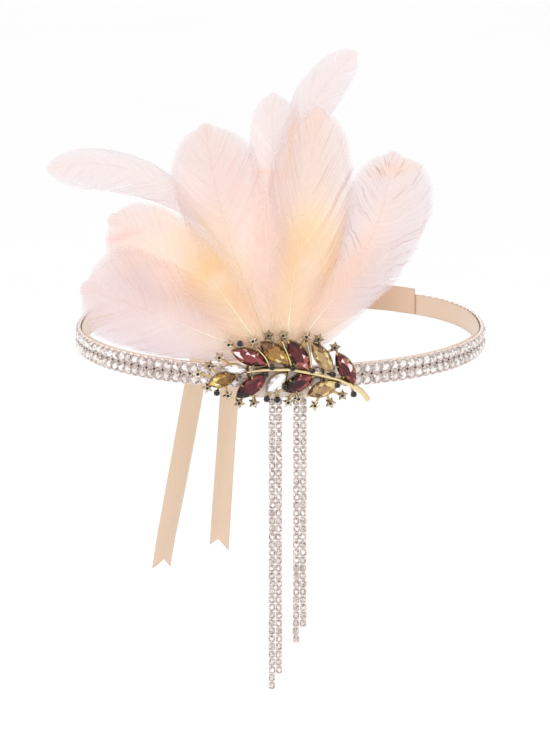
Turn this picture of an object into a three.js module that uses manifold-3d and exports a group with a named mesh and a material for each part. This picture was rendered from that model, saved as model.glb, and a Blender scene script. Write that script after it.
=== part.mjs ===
// Feather headband of the flapper kind: a ribbon tape with two rows of crystals, a plume of dyed feathers
// behind a leaf brooch, two hanging crystal chains, and a ribbon tied at the back of the head.
// Millimetres, +Z up. The wearer looks along -Y. The origin is the middle of the head opening, half way
// up the tape.
import * as THREE from 'three';
import Module from 'manifold-3d';

const wasm = await Module();
wasm.setup();

// Gap left between pieces that touch
const GAP = 0.3;

// Head opening, measured inside the tape: a true ellipse in front, a squarer curve behind
const HEAD_HALF_WIDTH = 87.5;
const HEAD_HALF_DEPTH = 93.5;
const BACK_SQUARENESS = 2.4;

// Ribbon tape that carries the crystals
const TAPE_HEIGHT = 10;
const TAPE_THICKNESS = 1;

// Crystal chain of two rows, each stone in a square metal cup; girdle and table are shares of the pitch.
// Its reach is in degrees from the forehead, to each side
const STONE_PITCH = 4.5;
const CHAIN_ROWS = 2;
const CUP_DEPTH = 0.9;
const CROWN_HEIGHT = 1.5;
const STONE_GIRDLE = 0.46;
const STONE_TABLE = 0.26;
const CHAIN_REACH = 137;

// Tie ribbon, the knot behind the head and the two tails with notched ends. The setback from the chain and
// the lap inside the tape's end are in degrees
const RIBBON_WIDTH = 12;
const RIBBON_THICKNESS = 1;
const RIBBON_STEP = 8;
const TIE_RISE = 1.5;
const TIE_SETBACK = 1;
const TIE_LAP = 8;
const KNOT_TURN = 194;
const KNOT_WIDTH = 17;
const KNOT_OVERHANG = 1.2;
const KNOT_DEPTH = 8;
const TAIL_SPREAD = 5.3;
const TAIL_STAGGER = 1.4;
const LONG_TAIL_DROP = 126;
const SHORT_TAIL_DROP = 117;
const TAIL_NOTCH = 4.4;
const LONG_TAIL_TWIST = 45;
const SHORT_TAIL_TWIST = -41;

// Felt pad glued to the tape; its foot fills the space below the quills and carries the brooch
const PAD_WIDTH = 24;
const PAD_THICKNESS = 1.5;
const PAD_BOTTOM = -7;

// Plume: every feather lies on a curved layer behind the brooch. The quills lie flat over the seat's
// length, then the layers lean back more and more
const PLUME_HEIGHT = 108;
const QUILL_BASE = 8.5;
const QUILL_SEAT = 8;
const QUILL_WIDTH = 2.2;
const QUILL_THICKNESS = 0.9;
const QUILL_TAPER = 0.6;
const VANE_EDGE = 0.3;
const VANE_TIP = 0.16;
const LAYER_COUNT = 6;
const LAYER_LEAN = 3;
const PLUME_CURL = 0.065;
const VANE_CUP = 0.1;

// Brooch; the shares give a marquise's foot and table, a star's notches and the rims of round settings
const BROOCH_HALF_WIDTH = 36;
const BROOCH_HALF_HEIGHT = 15;
const BROOCH_X = 1.3;
const BROOCH_Z = 4.4;
const PLATE_THICKNESS = 0.8;
const BEZEL_HEIGHT = 2.6;
const BEZEL_WALL = 0.8;
const MARQUISE_LENGTH = 15;
const MARQUISE_WIDTH = 6;
const MARQUISE_DEPTH = 3.3;
const MARQUISE_FOOT = 0.82;
const MARQUISE_GIRDLE = 0.55;
const MARQUISE_TABLE = 0.52;
const STEM_WIDTH = 1.6;
const STEM_HEIGHT = 3.6;
const TWIG_WIDTH = 0.9;
const TWIG_HEIGHT = 3.1;
const RIDGE_SHOULDER = 0.8;
const STRUT_WIDTH = 1.1;
const STAR_POINTS = 5;
const STAR_RADIUS = 2.5;
const STAR_NOTCH = 0.45;
const STAR_HEIGHT = 1.7;
const STAR_SHOULDER = 0.6;
const STAR_TURN = 17;
const BEAD_RADIUS = 1.3;
const STEM_BEAD_RADIUS = 1.17;
const BEAD_HEIGHT = 2.4;
const STEM_BEAD_HEIGHT = 4.2;
const BEAD_GIRDLE = 0.75;
const BEAD_TABLE = 0.6;

// Hanging chains: two lanes of small stones, the inner lane two stones shorter
const DROP_LANE = 2.9;
const DROP_ROW = 3.43;
const DROP_THICKNESS = 2;
const DROP_LONG_ROWS = 37;
const DROP_SHORT_ROWS = 31;
const DROP_STEP_ROWS = 2;
const DROP_LONG_X = -2.3;
const DROP_SHORT_X = 8;

// Places that follow from the sizes above
const TIE_START = CHAIN_REACH + TIE_SETBACK;
const TAPE_REACH = TIE_START + TIE_LAP;
const PAD_BACK = -(HEAD_HALF_DEPTH + TAPE_THICKNESS + GAP);
const LAYER_PITCH = QUILL_THICKNESS + GAP;
const REAR_QUILL = PAD_BACK - PAD_THICKNESS - GAP - QUILL_THICKNESS / 2;
const KNOT_HEIGHT = RIBBON_WIDTH + 2 * KNOT_OVERHANG;
const BROOCH_BACK = REAR_QUILL - (LAYER_COUNT - 1) * LAYER_PITCH - QUILL_THICKNESS / 2 - GAP;

// Feathers. layer counts from the back; root is the quill's place along the pad, as a share of its half
// width; angle is the lean from upright in degrees, to +X; bend is how far the rib turns, from the share
// bendFrom of its length on; length is a share of the plume's height; left and right are the vane's half
// widths and widest is where they lie, as shares of the feather's length; bare is the share without vane.
const FEATHERS = [
  { name: 'feather_wisp_top', layer: 0, root: 0.13, angle: -1, bend: 52, bendFrom: 0.43, length: 1.235,
    left: 0.07, right: 0.07, widest: 0.55, bare: 0.6, color: 0xf6e3df },
  { name: 'feather_wisp_left', layer: 1, root: -0.44, angle: -23.5, bend: -85, bendFrom: 0.34, length: 1.26,
    left: 0.053, right: 0.048, widest: 0.6, bare: 0.55, color: 0xf4dfda },
  { name: 'feather_centre_left', layer: 1, root: -0.16, angle: -2, bend: 3, bendFrom: 0.2, length: 1.0,
    left: 0.09, right: 0.085, widest: 0.8, bare: 0.1, color: 0xf5dcd6 },
  { name: 'feather_upper_left', layer: 2, root: -0.3, angle: -20, bend: 13, bendFrom: 0.44, length: 0.945,
    left: 0.17, right: 0.165, widest: 0.68, bare: 0.12, color: 0xf2dde0 },
  { name: 'feather_right', layer: 2, root: 0.3, angle: 37, bend: -31, bendFrom: 0.38, length: 0.92,
    left: 0.13, right: 0.23, widest: 0.74, bare: 0.22, color: 0xf4dcdc },
  { name: 'feather_left_high', layer: 3, root: -0.37, angle: -43, bend: -13, bendFrom: 0.4, length: 0.87,
    left: 0.185, right: 0.205, widest: 0.66, bare: 0.12, color: 0xf5ddd9 },
  { name: 'feather_centre', layer: 3, root: 0.13, angle: 7, bend: 2, bendFrom: 0.2, length: 0.965,
    left: 0.165, right: 0.19, widest: 0.62, bare: 0.12, color: 0xf7dccd },
  { name: 'feather_left_low', layer: 4, root: -0.43, angle: -67, bend: -6, bendFrom: 0.2, length: 0.765,
    left: 0.2, right: 0.23, widest: 0.64, bare: 0.12, color: 0xf0dce4 },
  { name: 'feather_front_centre', layer: 4, root: -0.16, angle: -5, bend: 2, bendFrom: 0.2, length: 0.65,
    left: 0.12, right: 0.12, widest: 0.66, bare: 0.12, color: 0xf4d3cc },
  { name: 'feather_right_low', layer: 4, root: 0.28, angle: 32, bend: 24, bendFrom: 0.1, length: 0.6,
    left: 0.14, right: 0.16, widest: 0.6, bare: 0.12, color: 0xf6e6e2 },
  { name: 'feather_front_left', layer: 5, root: -0.33, angle: -36, bend: 3, bendFrom: 0.2, length: 0.64,
    left: 0.155, right: 0.15, widest: 0.66, bare: 0.12, color: 0xfad8b4 },
  { name: 'feather_front_right', layer: 5, root: 0.13, angle: 6, bend: 2, bendFrom: 0.2, length: 0.565,
    left: 0.195, right: 0.195, widest: 0.66, bare: 0.12, color: 0xfbd6a4 },
];

// Marquise stones. x and z are shares of the brooch's half width and half height from its middle; tilt is
// in degrees, rising towards +X; long and wide are shares of the standard marquise.
const MARQUISES = [
  { name: 'stone_burgundy_upper', x: -0.4, z: 0.41, tilt: -20, long: 1.0, wide: 0.95, color: 0x7a2433 },
  { name: 'stone_amber_upper', x: -0.11, z: 0.54, tilt: -35, long: 0.93, wide: 0.97, color: 0xb9822f },
  { name: 'stone_burgundy_crown', x: 0.17, z: 0.47, tilt: -55, long: 0.95, wide: 1.0, color: 0x611a28 },
  { name: 'stone_champagne_upper', x: 0.445, z: 0.41, tilt: -55, long: 0.95, wide: 0.9, color: 0xb79b6e },
  { name: 'stone_burgundy_end', x: 0.715, z: 0.1, tilt: -60, long: 0.97, wide: 0.95, color: 0x6b1f2b },
  { name: 'stone_amber_end', x: -0.71, z: -0.22, tilt: 20, long: 0.8, wide: 0.85, color: 0xb98a2e },
  { name: 'stone_burgundy_lower', x: -0.38, z: -0.41, tilt: 37, long: 1.0, wide: 1.0, color: 0x7a2433 },
  { name: 'stone_clear_lower', x: -0.09, z: -0.3, tilt: 45, long: 0.72, wide: 0.78, color: 0xe8e6ea },
  { name: 'stone_burgundy_middle', x: 0.17, z: -0.32, tilt: 27, long: 0.88, wide: 1.0, color: 0x5a1826 },
  { name: 'stone_champagne_lower', x: 0.46, z: -0.48, tilt: 22, long: 0.9, wide: 0.9, color: 0xd2c08c },
  { name: 'stone_clear_end', x: -0.57, z: 0.08, tilt: -5, long: 0.6, wide: 0.55, color: 0xe8e6ea },
];

// Stem, from its fine end to the cut stalk; wide is a share of the stem's width
const STEM = [
  { x: -0.43, z: 0.0, wide: 0.5 },
  { x: -0.3, z: 0.05, wide: 0.8 },
  { x: 0.04, z: 0.07, wide: 0.9 },
  { x: 0.25, z: 0.0, wide: 1.0 },
  { x: 0.46, z: -0.1, wide: 1.0 },
  { x: 0.67, z: -0.24, wide: 1.05 },
  { x: 0.88, z: -0.52, wide: 1.15 },
  { x: 0.98, z: -0.8, wide: 1.3 },
];

// Twigs between the upper stones, each from its tip down to the stem
const TWIGS = [
  { x: -0.3, z: 0.65, kneeX: -0.21, kneeZ: 0.39, footX: -0.155, footZ: 0.08 },
  { x: -0.02, z: 0.88, kneeX: 0.058, kneeZ: 0.41, footX: 0.1, footZ: 0.06 },
  { x: 0.27, z: 0.85, kneeX: 0.3, kneeZ: 0.5, footX: 0.325, footZ: -0.02 },
];

// Star flowers round the spray, and the round settings among them and on the stem
const STARS = [
  { x: -0.64, z: 0.76 }, { x: -0.36, z: 0.86 }, { x: -0.75, z: 0.4 }, { x: -0.87, z: 0.16 },
  { x: -0.18, z: 1.02 }, { x: -0.01, z: 1.02 }, { x: 0.26, z: 0.98 }, { x: 0.4, z: 0.92 },
  { x: 0.59, z: 0.68 }, { x: -1.0, z: -0.07 }, { x: -0.65, z: -0.69 }, { x: -0.52, z: -0.9 },
  { x: -0.35, z: -0.9 }, { x: 0.05, z: -0.88 }, { x: 0.17, z: -0.78 }, { x: 0.36, z: -0.97 },
  { x: 0.54, z: -0.9 }, { x: 0.68, z: -0.68 }, { x: -0.89, z: -0.47 },
];
const OUTER_BEADS = [
  { x: -0.51, z: 0.8 }, { x: -0.78, z: -0.6 }, { x: -0.2, z: -0.78 }, { x: -0.08, z: -0.8 },
  { x: 0.81, z: -0.64 },
];
const STEM_BEADS = [
  { x: -0.14, z: 0.14 }, { x: 0.1, z: 0.12 }, { x: 0.33, z: 0.05 }, { x: 0.57, z: -0.06 },
  { x: -0.21, z: -0.06 }, { x: 0.01, z: -0.4 }, { x: 0.62, z: -0.36 },
];

// Tail centre lines: x from the knot as a share of the drop, z as a share of the drop
const LONG_TAIL = [
  { x: 0.0, z: 0.0 }, { x: -0.028, z: 0.12 }, { x: -0.056, z: 0.24 }, { x: -0.082, z: 0.38 },
  { x: -0.112, z: 0.55 }, { x: -0.143, z: 0.72 }, { x: -0.174, z: 0.88 }, { x: -0.194, z: 1.0 },
];
const SHORT_TAIL = [
  { x: 0.0, z: 0.0 }, { x: 0.0, z: 0.14 }, { x: -0.006, z: 0.28 }, { x: -0.018, z: 0.45 },
  { x: -0.032, z: 0.64 }, { x: -0.045, z: 0.82 }, { x: -0.056, z: 1.0 },
];

const FULL_TURN = 360;
const rad = THREE.MathUtils.degToRad;
const vec = (x, y, z) => new THREE.Vector3(x, y, z);

function finish(color, roughness, metalness) {
  return new THREE.MeshStandardMaterial({ color, roughness, metalness, side: THREE.DoubleSide });
}

const satin = finish(0xe8cfb8, 0.6, 0);
const gold = finish(0xcbb06a, 0.35, 1);
const crystal = finish(0xe9dcdc, 0.15, 0.6);
const felt = finish(0xe6d2c2, 0.95, 0);

// A closed body from its corners and faces, turned so that the faces point out
function body(corners, faces) {
  let volume = 0;
  for (const [a, b, c] of faces) {
    volume += corners[a].dot(corners[b].clone().cross(corners[c]));
  }
  const outward = volume < 0 ? faces.map(([a, b, c]) => [a, c, b]) : faces;
  const numbers = corners.flatMap((p) => [p.x, p.y, p.z]);
  const geometry = new THREE.BufferGeometry();
  geometry.setAttribute('position', new THREE.Float32BufferAttribute(numbers, 3));
  geometry.setIndex(outward.flat());
  geometry.computeVertexNormals();
  return geometry;
}

// A strip lofted through sections, each with as many front points as back points
function stripLoft(sections) {
  const columns = sections[0].front.length;
  const corners = sections.flatMap((s) => [...s.front, ...s.back]);
  const front = (i, c) => i * 2 * columns + c;
  const back = (i, c) => front(i, c) + columns;
  const faces = [];
  const quad = (a, b, c, d) => faces.push([a, b, c], [a, c, d]);
  const last = sections.length - 1;
  for (let i = 0; i < last; i++) {
    for (let c = 0; c < columns - 1; c++) {
      quad(front(i, c), front(i, c + 1), front(i + 1, c + 1), front(i + 1, c));
      quad(back(i, c + 1), back(i, c), back(i + 1, c), back(i + 1, c + 1));
    }
    quad(front(i + 1, columns - 1), front(i, columns - 1), back(i, columns - 1), back(i + 1, columns - 1));
    quad(front(i, 0), front(i + 1, 0), back(i + 1, 0), back(i, 0));
  }
  for (let c = 0; c < columns - 1; c++) {
    quad(front(0, c + 1), front(0, c), back(0, c), back(0, c + 1));
    quad(front(last, c), front(last, c + 1), back(last, c + 1), back(last, c));
  }
  return body(corners, faces);
}

// A solid lofted through closed rings, with flat ends or a peak over the last ring
function ringLoft(rings, peak) {
  const sides = rings[0].length;
  const corners = rings.flat();
  const faces = [];
  for (let i = 0; i < rings.length - 1; i++) {
    for (let k = 0; k < sides; k++) {
      const next = (k + 1) % sides;
      const [a, b] = [i * sides + k, i * sides + next];
      faces.push([a, b, b + sides], [a, b + sides, a + sides]);
    }
  }
  const top = (rings.length - 1) * sides;
  for (let k = 1; k < sides - 1; k++) {
    faces.push([0, k + 1, k]);
    if (!peak) faces.push([top, top + k, top + k + 1]);
  }
  if (peak) {
    corners.push(peak);
    for (let k = 0; k < sides; k++) faces.push([top + k, top + ((k + 1) % sides), corners.length - 1]);
  }
  return body(corners, faces);
}

// A prism over an outline of flat points; place gives the corner for a point at either end
function prism(outline, place) {
  const triangles = THREE.ShapeUtils.triangulateShape(outline, []);
  const count = outline.length;
  const corners = [0, 1].flatMap((end) => outline.map((p) => place(p, end)));
  const turn = THREE.ShapeUtils.isClockWise(outline) ? -1 : 1;
  const faces = [];
  for (const [a, b, c] of triangles) faces.push([a, c, b], [a + count, b + count, c + count]);
  for (let k = 0; k < count; k++) {
    const next = (k + 1) % count;
    const sides = [[k, next, next + count], [k, next + count, k + count]];
    faces.push(...sides.map(([a, b, c]) => (turn > 0 ? [a, b, c] : [a, c, b])));
  }
  return body(corners, faces);
}

function solid(geometry) {
  const vertProperties = new Float32Array(geometry.getAttribute('position').array);
  const triVerts = new Uint32Array(geometry.getIndex().array);
  return new wasm.Manifold(new wasm.Mesh({ numProp: 3, vertProperties, triVerts }));
}

function fromSolid(shape) {
  const mesh = shape.getMesh();
  const geometry = new THREE.BufferGeometry();
  geometry.setAttribute('position', new THREE.BufferAttribute(mesh.vertProperties, 3));
  geometry.setIndex(new THREE.BufferAttribute(mesh.triVerts, 1));
  geometry.computeVertexNormals();
  return geometry;
}

// Point of the head opening's curve, pushed out by offset; turn is in degrees from the forehead, to +X
function ovalPoint(turn, offset) {
  const power = (value, n) => Math.sign(value) * Math.abs(value) ** (2 / n);
  const at = (degrees) => {
    const squareness = Math.cos(rad(degrees)) >= 0 ? 2 : BACK_SQUARENESS;
    return vec(HEAD_HALF_WIDTH * power(Math.sin(rad(degrees)), squareness),
      -HEAD_HALF_DEPTH * power(Math.cos(rad(degrees)), squareness), 0);
  };
  const along = at(turn + 0.5).sub(at(turn - 0.5)).normalize();
  return at(turn).add(vec(along.y, -along.x, 0).multiplyScalar(offset));
}

// Turns at equal steps along the curve between two turns, with the step as near to pitch as fits
function evenTurns(from, to, offset, pitch) {
  const samples = 720;
  const turns = Array.from({ length: samples + 1 }, (_, i) => from + ((to - from) * i) / samples);
  const lengths = [0];
  for (let i = 1; i <= samples; i++) {
    lengths.push(lengths[i - 1] + ovalPoint(turns[i], offset).distanceTo(ovalPoint(turns[i - 1], offset)));
  }
  const count = Math.max(2, Math.round(lengths[samples] / pitch));
  return Array.from({ length: count + 1 }, (_, i) => {
    if (i === count) return to;
    const goal = (lengths[samples] * i) / count;
    const next = Math.max(1, lengths.findIndex((length) => length >= goal));
    const share = (goal - lengths[next - 1]) / (lengths[next] - lengths[next - 1]);
    return turns[next - 1] + (turns[next] - turns[next - 1]) * share;
  });
}

// A ribbon on edge round the head, bent at the given turns, between two offsets
function ringStrip(turns, inner, outer, bottom, top) {
  const sections = turns.map((turn) => {
    const wall = (offset) => [bottom, top].map((z) => ovalPoint(turn, offset).setZ(z));
    return { front: wall(outer), back: wall(inner) };
  });
  return stripLoft(sections);
}

const chainBack = TAPE_THICKNESS + GAP;
const cupFace = chainBack + CUP_DEPTH;

// Turns of the joints between cups, from beside the pad to the chain's end
const chainStart = THREE.MathUtils.radToDeg(Math.asin((PAD_WIDTH / 2 + GAP) / (HEAD_HALF_WIDTH + chainBack)));
const chainTurns = evenTurns(chainStart, CHAIN_REACH, cupFace, STONE_PITCH);

// Turns at which the tape's end and the tie ribbon inside it bend
const lapTurns = evenTurns(TIE_START, TAPE_REACH, 0, RIBBON_STEP);

// The tape bends where the chains and the ribbons sewn to it bend
function bandTape() {
  const side = [...chainTurns, ...lapTurns];
  const front = evenTurns(-chainStart, chainStart, 0, RIBBON_STEP).slice(1, -1);
  const turns = [...side.map((turn) => -turn).reverse(), ...front, ...side];
  return ringStrip(turns, 0, TAPE_THICKNESS, -TAPE_HEIGHT / 2, TAPE_HEIGHT / 2);
}

// Two rows of cut stones in square cups: each stone has a girdle of eight corners, eight crown facets and
// a square table
function crystalChain(side) {
  const [back, face, turns] = [chainBack, cupFace, chainTurns];
  const columns = turns.length - 1;
  const bottom = (-CHAIN_ROWS * STONE_PITCH) / 2;
  const corners = [];
  const faces = [];
  const put = (u, v, offset) => {
    const cell = Math.min(columns - 1, Math.floor(u));
    const turn = turns[cell] + (turns[cell + 1] - turns[cell]) * (u - cell);
    corners.push(ovalPoint(side * turn, offset).setZ(bottom + v * STONE_PITCH));
    return corners.length - 1;
  };
  const rows = Array.from({ length: CHAIN_ROWS + 1 }, (_, j) => j);
  const cups = turns.map((_, i) => rows.map((j) => put(i, j, face)));
  const backs = turns.map((_, i) => [put(i, 0, back), put(i, CHAIN_ROWS, back)]);
  const tableCorner = STONE_TABLE * Math.SQRT2;
  for (let i = 0; i < columns; i++) {
    for (let j = 0; j < CHAIN_ROWS; j++) {
      const around = (degrees, reach, offset) => put(i + 0.5 + reach * Math.cos(rad(degrees)),
        j + 0.5 + reach * Math.sin(rad(degrees)), offset);
      const cup = [cups[i + 1][j + 1], cups[i][j + 1], cups[i][j], cups[i + 1][j]];
      const rim = face + CROWN_HEIGHT;
      const eight = Array.from({ length: 8 }, (_, k) => around(22.5 + 45 * k, STONE_GIRDLE, face));
      const four = Array.from({ length: 4 }, (_, k) => around(45 + 90 * k, tableCorner, rim));
      for (let m = 0; m < 4; m++) {
        const n = (m + 1) % 4;
        const [a, b, c] = [eight[2 * m], eight[2 * m + 1], eight[(2 * m + 2) % 8]];
        faces.push([cup[m], b, a], [cup[m], cup[n], c], [cup[m], c, b]);
        faces.push([a, b, four[m]], [b, c, four[n]], [b, four[n], four[m]]);
      }
      faces.push([four[0], four[1], four[2]], [four[0], four[2], four[3]]);
    }
    const top = CHAIN_ROWS;
    const [here, beyond] = [backs[i], backs[i + 1]];
    faces.push([here[0], here[1], beyond[1]], [here[0], beyond[1], beyond[0]]);
    faces.push([cups[i][top], cups[i + 1][top], beyond[1]], [cups[i][top], beyond[1], here[1]]);
    faces.push([cups[i + 1][0], cups[i][0], here[0]], [cups[i + 1][0], here[0], beyond[0]]);
  }
  for (let j = 0; j < CHAIN_ROWS; j++) {
    faces.push([backs[0][0], cups[0][j], cups[0][j + 1]]);
    faces.push([backs[columns][0], cups[columns][j + 1], cups[columns][j]]);
  }
  faces.push([backs[0][0], cups[0][CHAIN_ROWS], backs[0][1]]);
  faces.push([backs[columns][0], backs[columns][1], cups[columns][CHAIN_ROWS]]);
  return body(corners, faces);
}

// Depth of a plume layer at a place of the front view; the layers fan out from the quills' foot
function plumeDepth(layer, x, z) {
  const reach = Math.max(0, Math.hypot(x, z - QUILL_BASE) - QUILL_SEAT);
  const lean = LAYER_LEAN * (LAYER_COUNT - 1 - layer);
  const curl = (PLUME_CURL * reach * reach) / PLUME_HEIGHT;
  return REAR_QUILL - layer * LAYER_PITCH + reach * Math.tan(rad(lean)) + curl;
}

// Vane width along a feather, from 0 to 1: it opens from the bare quill and closes in a round tip
function vaneShare(t, bare, widest) {
  if (t <= bare) return 0;
  const u = (t - bare) / (1 - bare);
  if (u < widest) return Math.sin((Math.PI / 2) * (u / widest)) ** 0.85;
  const fall = (u - widest) / (1 - widest);
  return Math.max(VANE_TIP, Math.sqrt(1 - fall ** 2.4));
}

function feather(row) {
  const length = row.length * PLUME_HEIGHT;
  const fine = 240;
  const rib = [{ x: (row.root * PAD_WIDTH) / 2, z: QUILL_BASE, heading: row.angle }];
  for (let i = 1; i <= fine; i++) {
    const t = i / fine;
    const turned = Math.max(0, (t - row.bendFrom) / (1 - row.bendFrom));
    const heading = row.angle + row.bend * turned;
    const step = length / fine;
    const x = rib[i - 1].x + step * Math.sin(rad(heading));
    const z = rib[i - 1].z + step * Math.cos(rad(heading));
    rib.push({ x, z, heading });
  }
  const seat = QUILL_SEAT / length;
  const stations = [0, seat, seat + 0.06, 0.25, 0.36, 0.48, 0.6, 0.71, 0.81, 0.89, 0.95, 0.985, 1];
  const columns = [-1, -0.5, 0, 0.5, 1];
  const sections = stations.map((t) => {
    const { x, z, heading } = rib[Math.round(t * fine)];
    const quill = (QUILL_WIDTH / 2) * (1 - QUILL_TAPER * t);
    const vane = vaneShare(t, row.bare, row.widest) * length;
    const point = (s, face) => {
      const half = Math.max(quill, vane * (s < 0 ? row.left : row.right));
      const [px, pz] = [x + s * half * Math.cos(rad(heading)), z - s * half * Math.sin(rad(heading))];
      const thick = THREE.MathUtils.lerp(QUILL_THICKNESS, VANE_EDGE, Math.abs(s));
      const depth = plumeDepth(row.layer, px, pz) + VANE_CUP * s * s * (half - quill);
      return vec(px, depth + (face * thick) / 2, pz);
    };
    return { front: columns.map((s) => point(s, -1)), back: columns.map((s) => point(s, 1)) };
  });
  return stripLoft(sections);
}

// Brooch: a flat point given in shares of its size, and a point of that plane at a height above its back
const flat = (x, z) => new THREE.Vector2(x, z);
const onBrooch = ({ x, z }) => flat(BROOCH_X + x * BROOCH_HALF_WIDTH, BROOCH_Z + z * BROOCH_HALF_HEIGHT);
const raised = (p, height) => vec(p.x, BROOCH_BACK - height, p.y);

// Pointed oval outline of two arcs, grown by a margin
function marquiseOutline(row, margin, scale) {
  const halfLong = ((row.long * MARQUISE_LENGTH) / 2) * scale + margin;
  const halfWide = ((row.wide * MARQUISE_WIDTH) / 2) * scale + margin;
  const radius = (halfLong ** 2 + halfWide ** 2) / (2 * halfWide);
  const sweep = Math.asin(Math.min(1, halfLong / radius));
  const steps = 5;
  const arc = Array.from({ length: steps }, (_, i) => {
    const angle = -sweep + (2 * sweep * i) / steps;
    return flat(radius * Math.sin(angle), radius * Math.cos(angle) - radius + halfWide);
  });
  const both = [...arc, ...arc.map((p) => p.clone().negate())];
  const middle = onBrooch(row);
  return both.map((p) => p.rotateAround(flat(0, 0), rad(row.tilt)).add(middle));
}

const stoneSeat = PLATE_THICKNESS + GAP;

function marquiseStone(row) {
  const ring = (scale, height) => marquiseOutline(row, 0, scale).map((p) => raised(p, height));
  const girdle = stoneSeat + MARQUISE_DEPTH * MARQUISE_GIRDLE;
  const table = stoneSeat + MARQUISE_DEPTH;
  return ringLoft([ring(MARQUISE_FOOT, stoneSeat), ring(1, girdle), ring(MARQUISE_TABLE, table)]);
}

// A flat point at an angle in degrees and a distance from a middle
function polar(middle, degrees, r) {
  return flat(r * Math.cos(rad(degrees)), r * Math.sin(rad(degrees))).add(middle);
}

// A round setting of eight sides with a table
function bead(row, radius, height) {
  const corner = (k, r) => polar(onBrooch(row), 22.5 + 45 * k, r);
  const ring = (r, h) => Array.from({ length: 8 }, (_, k) => raised(corner(k, r), h));
  return ringLoft([ring(radius, 0), ring(radius, height * BEAD_GIRDLE), ring(radius * BEAD_TABLE, height)]);
}

function star(row, index) {
  const middle = onBrooch(row);
  const ring = (h) => Array.from({ length: 2 * STAR_POINTS }, (_, k) => {
    const r = k % 2 ? STAR_RADIUS * STAR_NOTCH : STAR_RADIUS;
    return raised(polar(middle, 90 + (180 / STAR_POINTS) * k + STAR_TURN * index, r), h);
  });
  return ringLoft([ring(0), ring(STAR_HEIGHT * STAR_SHOULDER)], raised(middle, STAR_HEIGHT));
}

function strut(from, to) {
  const across = to.clone().sub(from).normalize().rotateAround(flat(0, 0), Math.PI / 2);
  across.multiplyScalar(STRUT_WIDTH / 2);
  const low = [from, to].map((p) => p.clone().sub(across));
  const high = [to, from].map((p) => p.clone().add(across));
  return prism([...low, ...high], (p, end) => raised(p, end * PLATE_THICKNESS));
}

// A ridged bar through flat points with a half width at each
function bar(points, widths, height) {
  const sections = points.map((p, i) => {
    const next = points[Math.min(i + 1, points.length - 1)];
    const along = next.clone().sub(points[Math.max(i - 1, 0)]).normalize();
    const across = flat(-along.y, along.x).multiplyScalar(widths[i] / 2);
    const at = (share, h) => raised(p.clone().add(across.clone().multiplyScalar(share)), h);
    return {
      front: [at(-1, height * RIDGE_SHOULDER), at(0, height), at(1, height * RIDGE_SHOULDER)],
      back: [at(-1, 0), at(0, 0), at(1, 0)],
    };
  });
  return stripLoft(sections);
}

function broochFrame() {
  const middles = MARQUISES.map(onBrooch);
  const stemPoints = STEM.map(onBrooch);
  const nearest = (p, others) => [...others].sort((a, b) => a.distanceTo(p) - b.distanceTo(p))[0];
  const prismTo = (outline, height) => prism(outline, (p, end) => raised(p, end * height));
  const twigWidths = [TWIG_WIDTH, TWIG_WIDTH, TWIG_WIDTH];
  const twigPoints = (t) => [t, { x: t.kneeX, z: t.kneeZ }, { x: t.footX, z: t.footZ }].map(onBrooch);
  const pieces = [
    bar(stemPoints, STEM.map((s) => s.wide * STEM_WIDTH), STEM_HEIGHT),
    ...TWIGS.map((t) => bar(twigPoints(t), twigWidths, TWIG_HEIGHT)),
    ...MARQUISES.map((m) => prismTo(marquiseOutline(m, GAP + BEZEL_WALL, 1), BEZEL_HEIGHT)),
    ...middles.map((p) => strut(p, nearest(p, stemPoints))),
    ...[...STARS, ...OUTER_BEADS].map((s) => strut(onBrooch(s), nearest(onBrooch(s), middles))),
    ...TWIGS.map((t) => strut(onBrooch(t), nearest(onBrooch(t), middles))),
    ...STARS.map(star),
    ...OUTER_BEADS.map((b) => bead(b, BEAD_RADIUS, BEAD_HEIGHT)),
    ...STEM_BEADS.map((b) => bead(b, STEM_BEAD_RADIUS, STEM_BEAD_HEIGHT)),
    ...STEM_BEADS.map((b) => strut(onBrooch(b), nearest(onBrooch(b), stemPoints))),
  ];
  const casting = wasm.Manifold.union(pieces.map(solid));
  const tall = 2 * (STEM_BEAD_HEIGHT + MARQUISE_DEPTH);
  const pockets = MARQUISES.map((m) => {
    const outline = marquiseOutline(m, GAP, 1);
    return solid(prism(outline, (p, end) => raised(p, end ? tall : PLATE_THICKNESS)));
  });
  return fromSolid(casting.subtract(wasm.Manifold.union(pockets)));
}

// The pad's profile, seen from the side: thin behind the quills, full depth below them
function mountPad() {
  const back = PAD_BACK;
  const footTop = QUILL_BASE - QUILL_WIDTH / 2 - 2 * GAP;
  const padTop = QUILL_BASE + QUILL_SEAT;
  const outline = [
    [back, PAD_BOTTOM], [back, padTop], [back - PAD_THICKNESS, padTop], [back - PAD_THICKNESS, footTop],
    [BROOCH_BACK + GAP, footTop], [BROOCH_BACK + GAP, PAD_BOTTOM],
  ].map(([y, z]) => new THREE.Vector2(y, z));
  return prism(outline, (p, end) => vec((end - 0.5) * PAD_WIDTH, p.x, p.y));
}

// Two lanes side by side, hung below the pad behind the brooch
function dropChain(middle, rows) {
  const top = PAD_BOTTOM - GAP;
  const low = top - rows * DROP_ROW;
  const step = low + DROP_STEP_ROWS * DROP_ROW;
  const outline = [
    [-DROP_LANE, top], [-DROP_LANE, low], [0, low], [0, step], [DROP_LANE, step], [DROP_LANE, top],
  ].map(([x, z]) => new THREE.Vector2(middle + x, z));
  const front = BROOCH_BACK + GAP;
  return prism(outline, (p, end) => vec(p.x, front + end * DROP_THICKNESS, p.y));
}

const knotMiddle = ovalPoint(KNOT_TURN, -(GAP + RIBBON_THICKNESS / 2)).setZ(TIE_RISE);

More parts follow.
